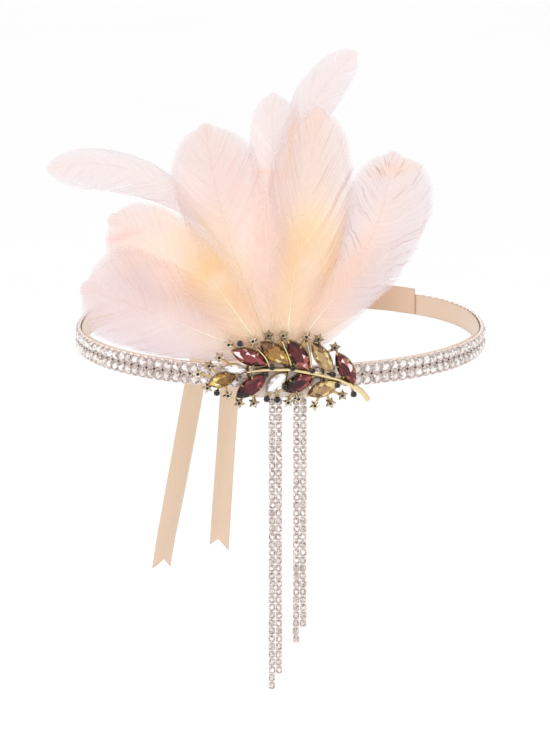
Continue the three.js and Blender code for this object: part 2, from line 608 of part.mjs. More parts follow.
// Turn at which a tie ribbon stops beside the knot, on the side that sign gives
function besideKnot(sign) {
  const stop = KNOT_WIDTH / 2 + GAP;
  let turn = KNOT_TURN;
  while (ovalPoint(turn, -GAP).distanceTo(knotMiddle.clone().setZ(0)) < stop) turn += sign * 0.05;
  return turn;
}

// Half of the tie ribbon, from the tape's end to the knot; side is 1 or -1, stop a turn on that side
function tieRibbon(side, stop) {
  const [bottom, top] = [TIE_RISE - RIBBON_WIDTH / 2, TIE_RISE + RIBBON_WIDTH / 2];
  const turns = [...lapTurns, ...evenTurns(TAPE_REACH, stop, -GAP, RIBBON_STEP).slice(1)];
  return ringStrip(turns.map((turn) => side * turn), -(GAP + RIBBON_THICKNESS), -GAP, bottom, top);
}

// The knot is a rounded block, turned with the curve of the head
function ribbonKnot() {
  const profile = [
    { height: -1, wide: 0.62 }, { height: -0.8, wide: 0.86 }, { height: -0.35, wide: 1 },
    { height: 0.35, wide: 1 }, { height: 0.8, wide: 0.86 }, { height: 1, wide: 0.62 },
  ];
  const sides = 12;
  const facing = ovalPoint(KNOT_TURN + 1, 0).sub(ovalPoint(KNOT_TURN - 1, 0)).normalize();
  const rings = profile.map(({ height, wide }) => Array.from({ length: sides }, (_, k) => {
    const angle = (2 * Math.PI * k) / sides;
    const u = (KNOT_WIDTH / 2) * wide * Math.cos(angle);
    const v = (KNOT_DEPTH / 2) * wide * Math.sin(angle);
    return vec(knotMiddle.x + u * facing.x - v * facing.y, knotMiddle.y + u * facing.y + v * facing.x,
      knotMiddle.z + (height * KNOT_HEIGHT) / 2);
  }));
  return ringLoft(rings);
}

// A tail hangs from under the knot; twist turns its face about the centre line
function ribbonTail(line, drop, spread, twist, depth) {
  const top = TIE_RISE - KNOT_HEIGHT / 2 - GAP;
  const curve = new THREE.SplineCurve(line.map((p) => new THREE.Vector2(p.x * drop, -p.z * drop)));
  const count = 10;
  const sections = curve.getPoints(count).map((p, i) => {
    const along = curve.getTangent(i / count);
    const turned = rad(twist);
    const point = (s, face) => {
      const notch = i === count && s === 0 ? TAIL_NOTCH : 0;
      const middle = vec(knotMiddle.x + spread + p.x - notch * along.x, knotMiddle.y + depth,
        top + p.y - notch * along.y);
      const across = vec(-along.y * Math.cos(turned), Math.sin(turned), along.x * Math.cos(turned));
      const out = across.clone().cross(vec(along.x, 0, along.y)).normalize();
      out.multiplyScalar((face * RIBBON_THICKNESS) / 2);
      return middle.addScaledVector(across, (s * RIBBON_WIDTH) / 2).add(out);
    };
    return { front: [-1, 0, 1].map((s) => point(s, 1)), back: [-1, 0, 1].map((s) => point(s, -1)) };
  });
  return stripLoft(sections);
}

const headband = new THREE.Group();

function add(name, geometry, material) {
  const mesh = new THREE.Mesh(geometry, material);
  mesh.name = name;
  headband.add(mesh);
}

const longTail = ribbonTail(LONG_TAIL, LONG_TAIL_DROP, -TAIL_SPREAD, LONG_TAIL_TWIST, TAIL_STAGGER);
const shortTail = ribbonTail(SHORT_TAIL, SHORT_TAIL_DROP, TAIL_SPREAD, SHORT_TAIL_TWIST, -TAIL_STAGGER);
add('band_tape', bandTape(), satin);
add('crystal_chain_left', crystalChain(-1), crystal);
add('crystal_chain_right', crystalChain(1), crystal);
add('tie_ribbon_right', tieRibbon(1, besideKnot(-1)), satin);
add('tie_ribbon_left', tieRibbon(-1, FULL_TURN - besideKnot(1)), satin);
add('ribbon_knot', ribbonKnot(), satin);
add('ribbon_tail_long', longTail, satin);
add('ribbon_tail_short', shortTail, satin);
add('mount_pad', mountPad(), felt);
for (const row of FEATHERS) add(row.name, feather(row), finish(row.color, 0.85, 0));
add('brooch_frame', broochFrame(), gold);
for (const row of MARQUISES) add(row.name, marquiseStone(row), finish(row.color, 0.1, 0));
add('drop_chain_long', dropChain(DROP_LONG_X, DROP_LONG_ROWS), crystal);
add('drop_chain_short', dropChain(DROP_SHORT_X, DROP_SHORT_ROWS), crystal);

export default headband;
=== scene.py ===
"""Looks of a flapper feather headband: crystal chain on a ribbon tape, a plume of dyed feathers behind a
leaf brooch, two hanging crystal chains and a ribbon tied behind the head.

Lengths are in millimetres until a piece is made. The wearer looks along -Y, and +Z is up.
"""
import math

import bpy
import numpy as np
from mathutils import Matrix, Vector


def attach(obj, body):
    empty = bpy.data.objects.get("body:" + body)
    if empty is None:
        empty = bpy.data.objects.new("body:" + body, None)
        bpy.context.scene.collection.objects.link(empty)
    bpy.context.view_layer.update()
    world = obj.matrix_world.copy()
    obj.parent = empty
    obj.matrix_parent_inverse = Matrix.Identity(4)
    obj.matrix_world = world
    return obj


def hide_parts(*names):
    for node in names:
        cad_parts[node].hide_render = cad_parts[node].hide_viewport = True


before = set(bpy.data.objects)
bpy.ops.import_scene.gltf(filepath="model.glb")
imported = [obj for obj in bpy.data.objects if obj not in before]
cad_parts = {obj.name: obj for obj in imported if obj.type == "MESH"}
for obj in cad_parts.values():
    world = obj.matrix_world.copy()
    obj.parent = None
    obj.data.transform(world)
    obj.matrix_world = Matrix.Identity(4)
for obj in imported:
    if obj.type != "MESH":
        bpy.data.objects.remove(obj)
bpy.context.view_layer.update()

MM = 0.001
UP = np.array([0.0, 0.0, 1.0])
SEEDS = dict(chains=11, drops=23, stones=40, stars=5, feathers=100, felt=3)

# Camera: level with the plume, a little above it
AIM = (-2.45, 0.0, -14.6)
CAMERA_DISTANCE = 1730.0
CAMERA_LEAN = math.radians(11.4)
SENSOR = 36.0
LENS = 190.75
FLOOR_DROP = 420.0
FLOOR_HALF = 14000.0
# Name, place, power in watts and size in metres
LAMPS = [("key_softbox", (-900, -1300, 1300), 3.0, 0.8), ("spark_lamp_left", (-700, -1500, 500), 2.0, 0.1),
         ("spark_lamp_right", (900, -1300, 900), 1.6, 0.1), ("rim_softbox", (300, 1200, 1000), 2.0, 0.7)]

# Head opening and the pieces that go round it
CLEARANCE = 0.3
HEAD_HALF_WIDTH = 87.5
HEAD_HALF_DEPTH = 93.5
BACK_SQUARENESS = 2.4
TAPE_HEIGHT = 10.0
TAPE_THICKNESS = 0.8
TAPE_REACH = 146.0
STONE_PITCH = 4.5
ROW_RISE = 2.36
CHAIN_REACH = 137.0
CUP_BACK = 1.3
CUP_SIDE = 4.48
CUP_STRETCH = 1.045
CRYSTAL_RADIUS = 2.06
# A cut: heights of the foot, girdle, middle and table, and their radii as shares of the girdle's
CRYSTAL_CUT = (0.5, 1.05, 1.7, 2.2), (0.8, 1.0, 0.8, 0.5)
RIBBON_WIDTH = 12.0
RIBBON_THICKNESS = 0.45
TIE_RISE = 1.5
TIE_START = 138.0
KNOT_TURN = 194.0
KNOT_OFFSET = -(CLEARANCE + 0.5)
KNOT_WIDTH = 17.0
KNOT_HEIGHT = 14.4
TAIL_STAGGER = 1.4
TAIL_NOTCH = 4.4

# Plume
PAD_WIDTH = 24.0
PAD_BOTTOM = -7.0
PAD_BACK = -94.8
PAD_THICKNESS = 1.5
PLUME_HEIGHT = 108.0
QUILL_BASE = 8.5
QUILL_SEAT = 8.0
REAR_QUILL = -97.05
LAYER_PITCH = 1.2
LAYER_COUNT = 6
LAYER_LEAN = 3.0
PLUME_CURL = 0.065
VANE_CUP = 0.1
VANE_TIP = 0.16
RIPPLE_REACH = 55.0
RIB_STEPS = 240
BARB_PITCH = 0.36
BARB_STEPS = 14
LAST_BARB = 0.985
FRINGE_LENGTH = 1.6
FRINGE_WIDTH = 0.2
DOWN_COUNT = 60
SHAFT_FOOT = 0.55
SHAFT_TIP = 0.035

# Brooch and the chains under it
BROOCH_BACK = -103.8
BROOCH_HALF_WIDTH = 36.0
BROOCH_HALF_HEIGHT = 15.0
BROOCH_X = 1.3
BROOCH_Z = 4.4
MARQUISE_LENGTH = 15.0
MARQUISE_WIDTH = 6.0
STONE_SEAT = 1.1
STONE_GIRDLE = 2.9
STONE_TABLE = 4.4
MARQUISE_CUT = (STONE_SEAT, STONE_GIRDLE - 0.2, STONE_GIRDLE + 0.85, STONE_TABLE), (0.82, 1.0, 0.78, 0.5)
JET_CUT = (0.0, 0.2, 0.5, 0.72), (0.8, 1.0, 0.83, 0.56)
BEZEL_HEIGHT = 2.6
BEZEL_STEPS = 28
BEZEL_CLAW_HALF = 0.28
DROP_TOP = -7.3
DROP_ROW = 3.43
DROP_LANE = 2.9
DROP_Y = -101.55
DROP_CUP_SIDE = 2.84
DROP_CUP_STRETCH = 1.13
DROP_CRYSTAL_RADIUS = 1.3
DROP_CUT = (0.45, 0.75, 1.15, 1.5), (0.8, 1.0, 0.8, 0.46)
# Name, place sideways and rows of crystals
DROPS = [("long", -2.3, 37), ("short", 8.0, 31)]

# Feathers, as on the frame: name, layer from the back, root as a share of the pad's half width, lean to +X
# and turn of the rib in degrees, the share that it turns from, length as a share of the plume's height,
# left and right half widths and widest place as shares of the length, share without vane, and dye bath
FEATHER_COLUMNS = ("name", "layer", "root", "angle", "bend", "bend_from", "length", "left", "right", "widest",
                   "bare", "dye")
# The web as most feathers have it: roundness of the lower half, place of the barbs' ends, how ragged and
# crinkled it is, the strength of its painted crease shade, the share of barbs with a painted crease line and
# that line's colour, partings, and how far it thins
WEB = dict(rise=0.7, sweep=0.62, ragged=1.0, crinkle=0.5, crease=1.0, busy=0.08, line="#EFCDB8", partings=1,
           soft=0.0)
FEATHERS = [{**WEB, **dict(zip(FEATHER_COLUMNS, row)), **web} for *row, web in (
    ("wisp_top", 0, 0.13, -1, 52, 0.43, 1.235, 0.07, 0.07, 0.55, 0.6, "pale", {}),
    ("wisp_left", 1, -0.44, -23.5, -85, 0.34, 1.26, 0.085, 0.048, 0.7, 0.45, "pale", {}),
    ("centre_left", 1, -0.16, -2, 3, 0.2, 1.0, 0.09, 0.12, 0.8, 0.1, "pale", {}),
    ("upper_left", 2, -0.3, -20, 13, 0.44, 0.925, 0.18, 0.2, 0.74, 0.08, "rose", dict(ragged=2.0)),
    ("right", 2, 0.3, 37, -31, 0.38, 0.89, 0.165, 0.215, 0.76, 0.12, "cool",
     dict(crinkle=1.8, crease=1.6, busy=0.2, line="#CDB4AE", partings=2, sweep=0.75, ragged=2.0)),
    ("left_high", 3, -0.37, -44, -16, 0.4, 0.82, 0.24, 0.19, 0.7, 0.08, "blush", dict(ragged=2.0)),
    ("centre", 3, 0.13, 7, 2, 0.2, 0.965, 0.165, 0.19, 0.6, 0.08, "blush",
     dict(rise=0.55, sweep=0.34, crinkle=1.2, crease=1.2, busy=0.16, line="#DCC4AC")),
    ("left_low", 4, -0.43, -67, -6, 0.2, 0.765, 0.23, 0.285, 0.78, 0.08, "mauve",
     dict(crinkle=0.9, crease=0.7, ragged=1.6)),
    ("front_centre", 4, -0.16, -5, 2, 0.2, 0.65, 0.13, 0.13, 0.66, 0.08, "pale", dict(soft=0.6, crease=0.5)),
    ("right_low", 4, 0.28, 32, 24, 0.1, 0.6, 0.16, 0.21, 0.55, 0.05, "pale",
     dict(soft=0.45, rise=0.5, crease=0.8)),
    ("front_left", 5, -0.33, -36, 3, 0.2, 0.64, 0.2, 0.165, 0.66, 0.08, "peach", dict(soft=0.8, crease=0.4)),
    ("front_right", 5, 0.13, 6, 2, 0.2, 0.565, 0.21, 0.21, 0.66, 0.08, "peach", dict(soft=0.8, crease=0.4)),
)]

# Dye baths: the colour at the quill's foot, in the middle of the vane and at its edge
DYES = {
    "blush": ("#FEEEDC", "#EFDAD1", "#EBDAD9"),
    "rose": ("#FEEEE0", "#EAD4CE", "#E5D4D5"),
    "cool": ("#FEECE0", "#EAD9D6", "#E7D8DB"),
    "mauve": ("#FCE6D6", "#E8D3D1", "#E3D0D5"),
    "pale": ("#FEF2E6", "#ECDFDD", "#EAE0E3"),
    "peach": ("#FEE6C8", "#FBE3C6", "#F6E0D2"),
}
HORN = "#F1CFA8"

# Places in the front view where the colour is deeper or paler: some are the dye's own patches and lines, and
# the pale spots over the plume's foot and middle are painted light that lifts the shade where the layers
# overlap.
# x, z, half width, half height, tilt, colour, strength and the rearmost layer that shows it
DYE_AND_LIGHT_SPOTS = [
    (-27.5, 48.6, 17, 10, -35, "#FADAA8", 0.85, 3), (-54.8, 53.0, 17, 6, -10, "#F9E2D0", 0.6, 3),
    (-69.5, 57.5, 1.6, 10, 67, "#F0C2BA", 0.6, 3), (-40.0, 62.0, 12, 6, -35, "#F9E0BE", 0.5, 3),
    (-29.6, 61.0, 0.8, 22, -40, "#DDC59C", 0.6, 2), (-25.8, 42.2, 5, 3.5, -35, "#FCF0DE", 0.8, 5),
    (-16.0, 34.0, 4, 12, -50, "#F8D0A0", 0.55, 5), (13.7, 62.8, 10, 13, 8, "#FBDDB0", 0.8, 3),
    (4.5, 52.0, 3.4, 15, 6, "#FADAAE", 0.65, 5), (12.8, 48.6, 3.5, 3.5, 0, "#FCF1E2", 0.6, 5),
    (20.5, 50.0, 5.0, 13, 12, "#FBDCB0", 0.7, 3), (1.9, 30.0, 13, 10, 0, "#FFE4C8", 0.7, 1),
    (18.7, 26.0, 9, 8, 0, "#FFE4D6", 0.5, 2), (1.9, 19.0, 20, 6, 0, "#FFECD8", 0.8, 1),
    (-7.0, 65.0, 5, 30, -3, "#FFEAE2", 0.7, 1), (-47.0, 45.0, 8, 8, 0, "#FFE9E0", 0.6, 3),
    (-38.0, 78.0, 6, 9, -30, "#FBE6DE", 0.5, 2), (-47.0, 70.5, 8, 6, 0, "#F8DCC0", 0.6, 3),
    (-17.0, 77.0, 6, 16, -15, "#F3D0C6", 0.5, 2), (-27.0, 65.0, 6, 8, -30, "#F7D8BC", 0.5, 2),
    (-17.0, 47.0, 5, 15, -22, "#FCDDB2", 0.5, 2), (-73.7, 57.0, 3, 2.2, 0, "#F2BDB2", 0.5, 3),
    (-4.5, 85.0, 7, 0.7, 0, "#F3C09C", 0.6, 1), (4.6, 100.0, 0.9, 14, 8, "#F5C6A4", 0.55, 1),
    (49.0, 86.5, 11, 2.4, -8, "#F6CDB4", 0.55, 2), (59.5, 89.0, 2.2, 1.6, 0, "#DC9068", 0.85, 2),
    (31.0, 48.0, 5, 24, 32, "#FBD8C4", 0.6, 2), (-10.7, 58.5, 7, 15, -5, "#FFE9DE", 0.8, 1),
    (-44.0, 26.0, 10, 7, 0, "#FAE6E0", 0.5, 4), (12.0, 107.0, 8, 8, 0, "#F3D8CC", 0.5, 3),
    (1.5, 19.0, 24, 5, 0, "#FFE9CE", 0.65, 4),
]

# Marquise stones: name, place and tilt as on the frame, length and width as shares of the standard
# marquise, the side that its painted light comes from in degrees, and how much its painted glints are lifted
# above its glass
MARQUISES = [dict(zip(("name", "x", "z", "tilt", "long", "wide", "lit", "glint_lift"), row)) for row in (
    ("burgundy_upper", -0.4, 0.41, -20, 1.0, 0.95, 100, 0.2),
    ("amber_upper", -0.11, 0.54, -35, 0.93, 0.97, -45, 0.0),
    ("burgundy_crown", 0.17, 0.47, -55, 0.95, 1.0, -30, 0.0),
    ("champagne_upper", 0.445, 0.41, -55, 0.95, 0.9, -60, 0.0),
    ("burgundy_end", 0.715, 0.1, -60, 0.97, 0.95, 20, 0.1),
    ("amber_end", -0.71, -0.22, 20, 0.8, 0.85, 200, 0.0),
    ("burgundy_lower", -0.38, -0.41, 37, 1.0, 1.0, 45, -0.08),
    ("clear_lower", -0.09, -0.3, 45, 0.72, 0.78, 0, 0.0),
    ("burgundy_middle", 0.17, -0.32, 27, 0.88, 1.0, 20, -0.1),
    ("champagne_lower", 0.46, -0.48, 22, 0.9, 0.9, 0, 0.0),
    ("clear_end", -0.57, 0.08, -5, 0.6, 0.55, 90, 0.0),
)]
STEM = [(-0.43, 0.0, 0.5), (-0.3, 0.05, 0.8), (0.04, 0.07, 0.9), (0.25, 0.0, 1.0), (0.46, -0.1, 1.0),
        (0.67, -0.24, 1.05), (0.88, -0.52, 1.15), (0.98, -0.8, 1.3)]
TWIGS = [
    [(-0.3, 0.65, 0.5), (-0.21, 0.39, 0.6), (-0.155, 0.08, 0.6)],
    [(-0.02, 0.88, 0.5), (0.058, 0.41, 0.6), (0.1, 0.06, 0.6)],
    [(0.27, 0.85, 0.5), (0.3, 0.5, 0.6), (0.325, -0.02, 0.6)],
]
STARS = [(-0.64, 0.76), (-0.36, 0.86), (-0.75, 0.4), (-0.87, 0.16), (-0.18, 1.02), (-0.01, 1.02),
         (0.26, 0.98), (0.4, 0.92), (0.59, 0.68), (-1.0, -0.07), (-0.65, -0.69), (-0.52, -0.9),
         (-0.35, -0.9), (0.05, -0.88), (0.17, -0.78), (0.36, -0.97), (0.54, -0.9), (0.68, -0.68),
         (-0.89, -0.47)]
OUTER_BEADS = [(-0.51, 0.8), (-0.78, -0.6), (-0.2, -0.78), (-0.08, -0.8), (0.81, -0.64)]
STEM_BEADS = [(-0.14, 0.14), (0.1, 0.12), (0.33, 0.05), (0.57, -0.06), (-0.21, -0.06), (0.01, -0.4),
              (0.62, -0.36)]

# Tail centre lines: sideways and down, as shares of the drop
LONG_TAIL = [(0.0, 0.0), (-0.028, 0.12), (-0.056, 0.24), (-0.082, 0.38), (-0.112, 0.55), (-0.143, 0.72),
             (-0.174, 0.88), (-0.194, 1.0)]
SHORT_TAIL = [(0.0, 0.0), (0.0, 0.14), (-0.006, 0.28), (-0.018, 0.45), (-0.032, 0.64), (-0.045, 0.82),
              (-0.056, 1.0)]
# Name, centre line, drop, start sideways from the knot's middle, turn edge on in degrees, start backwards
TAILS = [("long", LONG_TAIL, 125.5, -5.0, 39.0, TAIL_STAGGER),
         ("short", SHORT_TAIL, 115.0, 3.8, -40.0, -TAIL_STAGGER)]


def linear(color):
    """An sRGB hex colour as linear red, green and blue."""
    parts = [int(color[i:i + 2], 16) / 255 for i in (1, 3, 5)]
    return np.array([p / 12.92 if p <= 0.04045 else ((p + 0.055) / 1.055) ** 2.4 for p in parts])


def ray(turn):
    """The flat direction of a turn in radians."""
    return np.array([math.cos(turn), math.sin(turn)])


def put(tree, kind, inputs=None, **settings):
    """Adds a node with its settings. An input is a value, or another node's output to link."""
    made = tree.nodes.new(kind)
    for name, value in settings.items():
        setattr(made, name, value)
    for name, value in (inputs or {}).items():
        if isinstance(value, bpy.types.NodeSocket):
            tree.links.new(value, made.inputs[name])
        else:
            made.inputs[name].default_value = value
    return made


def ramp(tree, factor, stops):
    """A colour ramp over a factor; stops are (place, hex colour)."""
    made = put(tree, "ShaderNodeValToRGB", {"Fac": factor})
    elements = made.color_ramp.elements
    while len(elements) < len(stops):
        elements.new(0.5)
    for element, (place, color) in zip(elements, stops):
        element.position = place
        element.color = (*linear(color), 1.0)
    return made.outputs["Color"]


def grain(tree, scale, detail, distortion=0.0):
    """Noise over a piece's own coordinates, so that it keeps its real size; scale is for one metre."""
    place = put(tree, "ShaderNodeTexCoord").outputs["Object"]
    return put(tree, "ShaderNodeTexNoise", {"Vector": place, "Scale": scale, "Detail": detail,
                                            "Distortion": distortion}).outputs["Fac"]


def between(tree, value, low, high, start=0.0, stop=1.0):
    """A value that runs from start to stop, as one from low to high."""
    return put(tree, "ShaderNodeMapRange", {"Value": value, "From Min": start, "From Max": stop,
                                            "To Min": low, "To Max": high}).outputs["Result"]


def painted(tree, layer, output="Fac"):
    return put(tree, "ShaderNodeAttribute", attribute_name=layer).outputs[output]


def total(tree, one, other):
    return put(tree, "ShaderNodeMath", {0: one, 1: other}, operation="ADD").outputs["Value"]


def relief(tree, height, strength, depth):
    return put(tree, "ShaderNodeBump", {"Strength": strength, "Distance": depth,
                                        "Height": height}).outputs["Normal"]


def principled(tree, inputs):
    return put(tree, "ShaderNodeBsdfPrincipled", inputs).outputs["BSDF"]


def mixed(tree, share, one, other):
    return put(tree, "ShaderNodeMixShader", {"Fac": share, 1: one, 2: other}).outputs["Shader"]


def finish(name, recipe, *settings):
    """A new material; recipe adds its nodes to a tree and gives the shader's output."""
    material = bpy.data.materials.new(name)
    material.use_nodes = True
    tree = material.node_tree
    tree.nodes.clear()
    put(tree, "ShaderNodeOutputMaterial", {"Surface": recipe(tree, *settings)})
    return material


# ---- Finishes


def satin_ribbon(tree):
    """Polyester satin: long floats of yarn along the ribbon give a soft streaky sheen, painted into the
    colour as paler and deeper streaks that also give a faint relief; yarns of 0.2 mm are drawn 0.5 mm apart
    so that they show."""
    place = put(tree, "ShaderNodeUVMap", uv_map="cloth").outputs["UV"]
    stretch = put(tree, "ShaderNodeMapping", {"Vector": place, "Scale": (120.0, 2400.0, 1.0)})
    sheen_streaks = put(tree, "ShaderNodeTexNoise", {"Vector": stretch.outputs["Vector"], "Scale": 1.0,
                                               "Detail": 3.0, "Roughness": 0.6}).outputs["Fac"]
    weft = put(tree, "ShaderNodeTexWave", {"Vector": place, "Scale": 320.0, "Distortion": 0.6},
               bands_direction="X").outputs["Fac"]
    # painted sheen: the streaks make the colour paler and deeper along the ribbon
    color = ramp(tree, sheen_streaks, [(0.25, "#E8CDB4"), (0.55, "#EBD1BA"), (0.8, "#EFD7C2")])
    # times each ribbon's tint, which on the tie's inner face is a painted shadow
    color = put(tree, "ShaderNodeVectorMath", {0: color, 1: painted(tree, "tint_and_shade", "Color")},
                operation="MULTIPLY").outputs["Vector"]
    return principled(tree, {
        "Base Color": color, "Roughness": 0.42, "Sheen Weight": 0.35, "Sheen Roughness": 0.4,
        "Specular IOR Level": 0.45, "Anisotropic": 0.4,
        "Normal": relief(tree, total(tree, sheen_streaks, weft), 0.12, 0.0002)})


def wool_felt(tree):
    """Pressed wool felt: matt, with short fibres lying every way, about 0.5 mm apart."""
    fibres = grain(tree, 1400.0, 5.0, 2.0)
    return principled(tree, {
        "Base Color": ramp(tree, fibres, [(0.3, "#F0DDCD"), (0.7, "#FBEFE4")]), "Roughness": 0.95,
        "Sheen Weight": 0.4, "Normal": relief(tree, fibres, 0.7, 0.0004)})


def uneven_dye_and_light(tree, scale, detail, low, high):
    """The painted dye, with the painted light and crease shade that it carries, broken up between low and
    high of its strength.
    """
    depth = between(tree, grain(tree, scale, detail), low, high, 0.3, 0.7)
    return put(tree, "ShaderNodeVectorMath", {0: painted(tree, "dye", "Color"), "Scale": depth},
               operation="SCALE").outputs["Vector"]


def dyed_vane(tree):
    """Dyed goose vane: thin barbs let light through, so the plume glows from behind and its edges are
    sheer. The dye is painted into each barb, along with painted light and painted crease shade, and grain of
    about 1 mm breaks it up."""
    color = uneven_dye_and_light(tree, 900.0, 3.0, 0.975, 1.02)
    barbs = principled(tree, {"Base Color": color, "Roughness": 0.6, "Specular IOR Level": 0.25,
                              "Sheen Weight": 0.25, "Sheen Roughness": 0.5})
    glow = put(tree, "ShaderNodeBsdfTranslucent", {"Color": color}).outputs["BSDF"]
    clear = put(tree, "ShaderNodeBsdfTransparent").outputs["BSDF"]
    return mixed(tree, painted(tree, "body"), clear, mixed(tree, 0.42, barbs, glow))


def quill_horn(tree):
    """Feather shaft: smooth keratin with a faint gloss, lightly dyed and streaked along its length."""
    return principled(tree, {
        "Base Color": uneven_dye_and_light(tree, 500.0, 2.0, 0.85, 1.05), "Roughness": 0.35, "IOR": 1.54,
        "Subsurface Weight": 0.1, "Subsurface Radius": (0.001, 0.0008, 0.0006), "Subsurface Scale": 1.0})


def plated_cups(tree):
    """Rose-tinted plated brass cups: bright rims, dull between the stones, with fine tumbling marks."""
    marks = grain(tree, 1100.0, 4.0)
    return principled(tree, {
        "Base Color": ramp(tree, marks, [(0.3, "#CDBAB2"), (0.5, "#E6D8D1"), (0.7, "#F7EFEB")]),
        "Metallic": 1.0, "Roughness": between(tree, marks, 0.18, 0.42)})


def foiled_glass(tree, stops, rough=0.12, metallic=0.0):
    """Foil-backed cut glass: each facet sends back another part of the foil, so neighbours go from dark
    to bright under a hard clear surface; this reflection is painted into the colour from each facet's glint."""
    shade = total(tree, painted(tree, "glint"), between(tree, grain(tree, 700.0, 1.0), -0.1, 0.1))
    return principled(tree, {"Base Color": ramp(tree, shade, stops), "Metallic": metallic,
                             "Roughness": rough, "IOR": 1.54, "Specular IOR Level": 0.4})


def antiqued_metal(tree, stops):
    """Antiqued plate on cast alloy: polished and pale where it was buffed, with brown patina below; its
    polish layer also carries painted glare.
    """
    pits = grain(tree, 1300.0, 4.0)
    worn = total(tree, painted(tree, "polish_and_glare"), between(tree, pits, -0.25, 0.25))
    return principled(tree, {"Base Color": ramp(tree, worn, stops), "Metallic": 1.0,
                             "Roughness": between(tree, worn, 0.5, 0.2),
                             "Normal": relief(tree, pits, 0.3, 0.0001)})


def painted_board(tree):
    """Matt white painted board with a faint mottle."""
    return principled(tree, {"Base Color": ramp(tree, grain(tree, 3.0, 2.0), [(0.3, "#FDFDFD"),
                                                                             (0.7, "#FFFEFE")]),
                             "Roughness": 0.9})


# ---- Making pieces


def piece(name, points, faces, materials, replaces=(), smooth=True, layers=None, uv=None,
          face_materials=None):
    """A mesh piece from points in millimetres. layers are named values or colours, one for each point, or
    for each face where their number is the faces'. It rides on the part's body."""
    mesh = bpy.data.meshes.new(name)
    mesh.from_pydata((np.asarray(points, float) * MM).tolist(), [], faces)
    for material in materials:
        mesh.materials.append(material)
    if face_materials is not None:
        mesh.polygons.foreach_set("material_index", np.asarray(face_materials, np.int32))
    mesh.polygons.foreach_set("use_smooth", np.broadcast_to(smooth, len(mesh.polygons)).astype(bool))
    for layer, values in (layers or {}).items():
        values = np.asarray(values, np.float32)
        domain = "POINT" if len(values) == len(mesh.vertices) else "FACE"
        if values.ndim == 2:
            colors = mesh.color_attributes.new(layer, "FLOAT_COLOR", domain)
            colors.data.foreach_set("color", np.c_[values, np.ones(len(values))].astype(np.float32).ravel())
        else:
            mesh.attributes.new(layer, "FLOAT", domain).data.foreach_set("value", values)
    if uv is not None:
        corners = np.zeros(len(mesh.loops), np.int32)
        mesh.loops.foreach_get("vertex_index", corners)
        places = mesh.uv_layers.new(name="cloth")
        places.data.foreach_set("uv", (np.asarray(uv, np.float32)[corners] * MM).ravel())
    mesh.update()
    made = bpy.data.objects.new(name, mesh)
    bpy.context.scene.collection.objects.link(made)
    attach(made, "root")
    if replaces:
        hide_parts(*replaces)
    return made


def joined(parts):
    """Several (points, faces) as one."""
    points, faces, count = [], [], 0
    for some, these in parts:
        points.append(np.asarray(some, float))
        faces.extend([tuple(i + count for i in face) for face in these])
        count += len(some)
    return np.concatenate(points), faces


def grid_faces(rows, columns, around=False):
    """Faces between rows of points, each row closed where around is true."""
    last = columns if around else columns - 1
    return [(i * columns + j, i * columns + (j + 1) % columns,
             (i + 1) * columns + (j + 1) % columns, (i + 1) * columns + j)
            for i in range(rows - 1) for j in range(last)]


def loft(rings):
    """Closed rings of points joined to a body with flat ends."""
    rings = np.asarray(rings, float)
    rows, columns = rings.shape[:2]
    faces = grid_faces(rows, columns, around=True)
    faces.append(tuple(range(columns))[::-1])
    faces.append(tuple((rows - 1) * columns + j for j in range(columns)))
    return rings.reshape(-1, 3), faces


def unit(vectors):
    return vectors / np.maximum(np.linalg.norm(vectors, axis=-1, keepdims=True), 1e-9)


def scattered(points, faces, origins, across, up, out):
    """Copies of a shape, each with its own origin and axes."""
    points, origins = np.asarray(points, float), np.asarray(origins, float)
    spread = (origins[:, None] + points[None, :, 0:1] * np.asarray(across)[:, None]
              + points[None, :, 1:2] * np.asarray(up)[:, None]
              + points[None, :, 2:3] * np.asarray(out)[:, None])
    count = len(points)
    many = [tuple(i + k * count for i in face) for k in range(len(origins)) for face in faces]
    return spread.reshape(-1, 3), many


# ---- Head opening


def on_oval(turns, offset=0.0):
    """Points of the head opening's curve, pushed out, and the outward directions there; turns are in
    degrees from the forehead, to +X."""
    def at(degrees):
        sine, cosine = np.sin(np.radians(degrees)), np.cos(np.radians(degrees))
        power = 2 / np.where(cosine >= 0, 2, BACK_SQUARENESS)
        return np.stack([HEAD_HALF_WIDTH * np.sign(sine) * np.abs(sine) ** power,
                         -HEAD_HALF_DEPTH * np.sign(cosine) * np.abs(cosine) ** power], -1)
    turns = np.asarray(turns, float)
    along = unit(at(turns + 0.5) - at(turns - 0.5))
    out = np.stack([along[..., 1], -along[..., 0]], -1)
    place = at(turns) + out * offset
    level = np.zeros_like(place[..., :1])
    return np.concatenate([place, level], -1), np.concatenate([out, level], -1)


def even_turns(start, stop, offset, pitch):
    """Turns at equal steps along the curve, with the step as near to pitch as fits."""
    samples = np.linspace(start, stop, 1441)
    lengths = np.r_[0, np.cumsum(np.linalg.norm(np.diff(on_oval(samples, offset)[0], axis=0), axis=1))]
    count = max(2, round(lengths[-1] / pitch))
    return np.interp(np.linspace(0, lengths[-1], count + 1), lengths, samples)


# ---- Ribbons


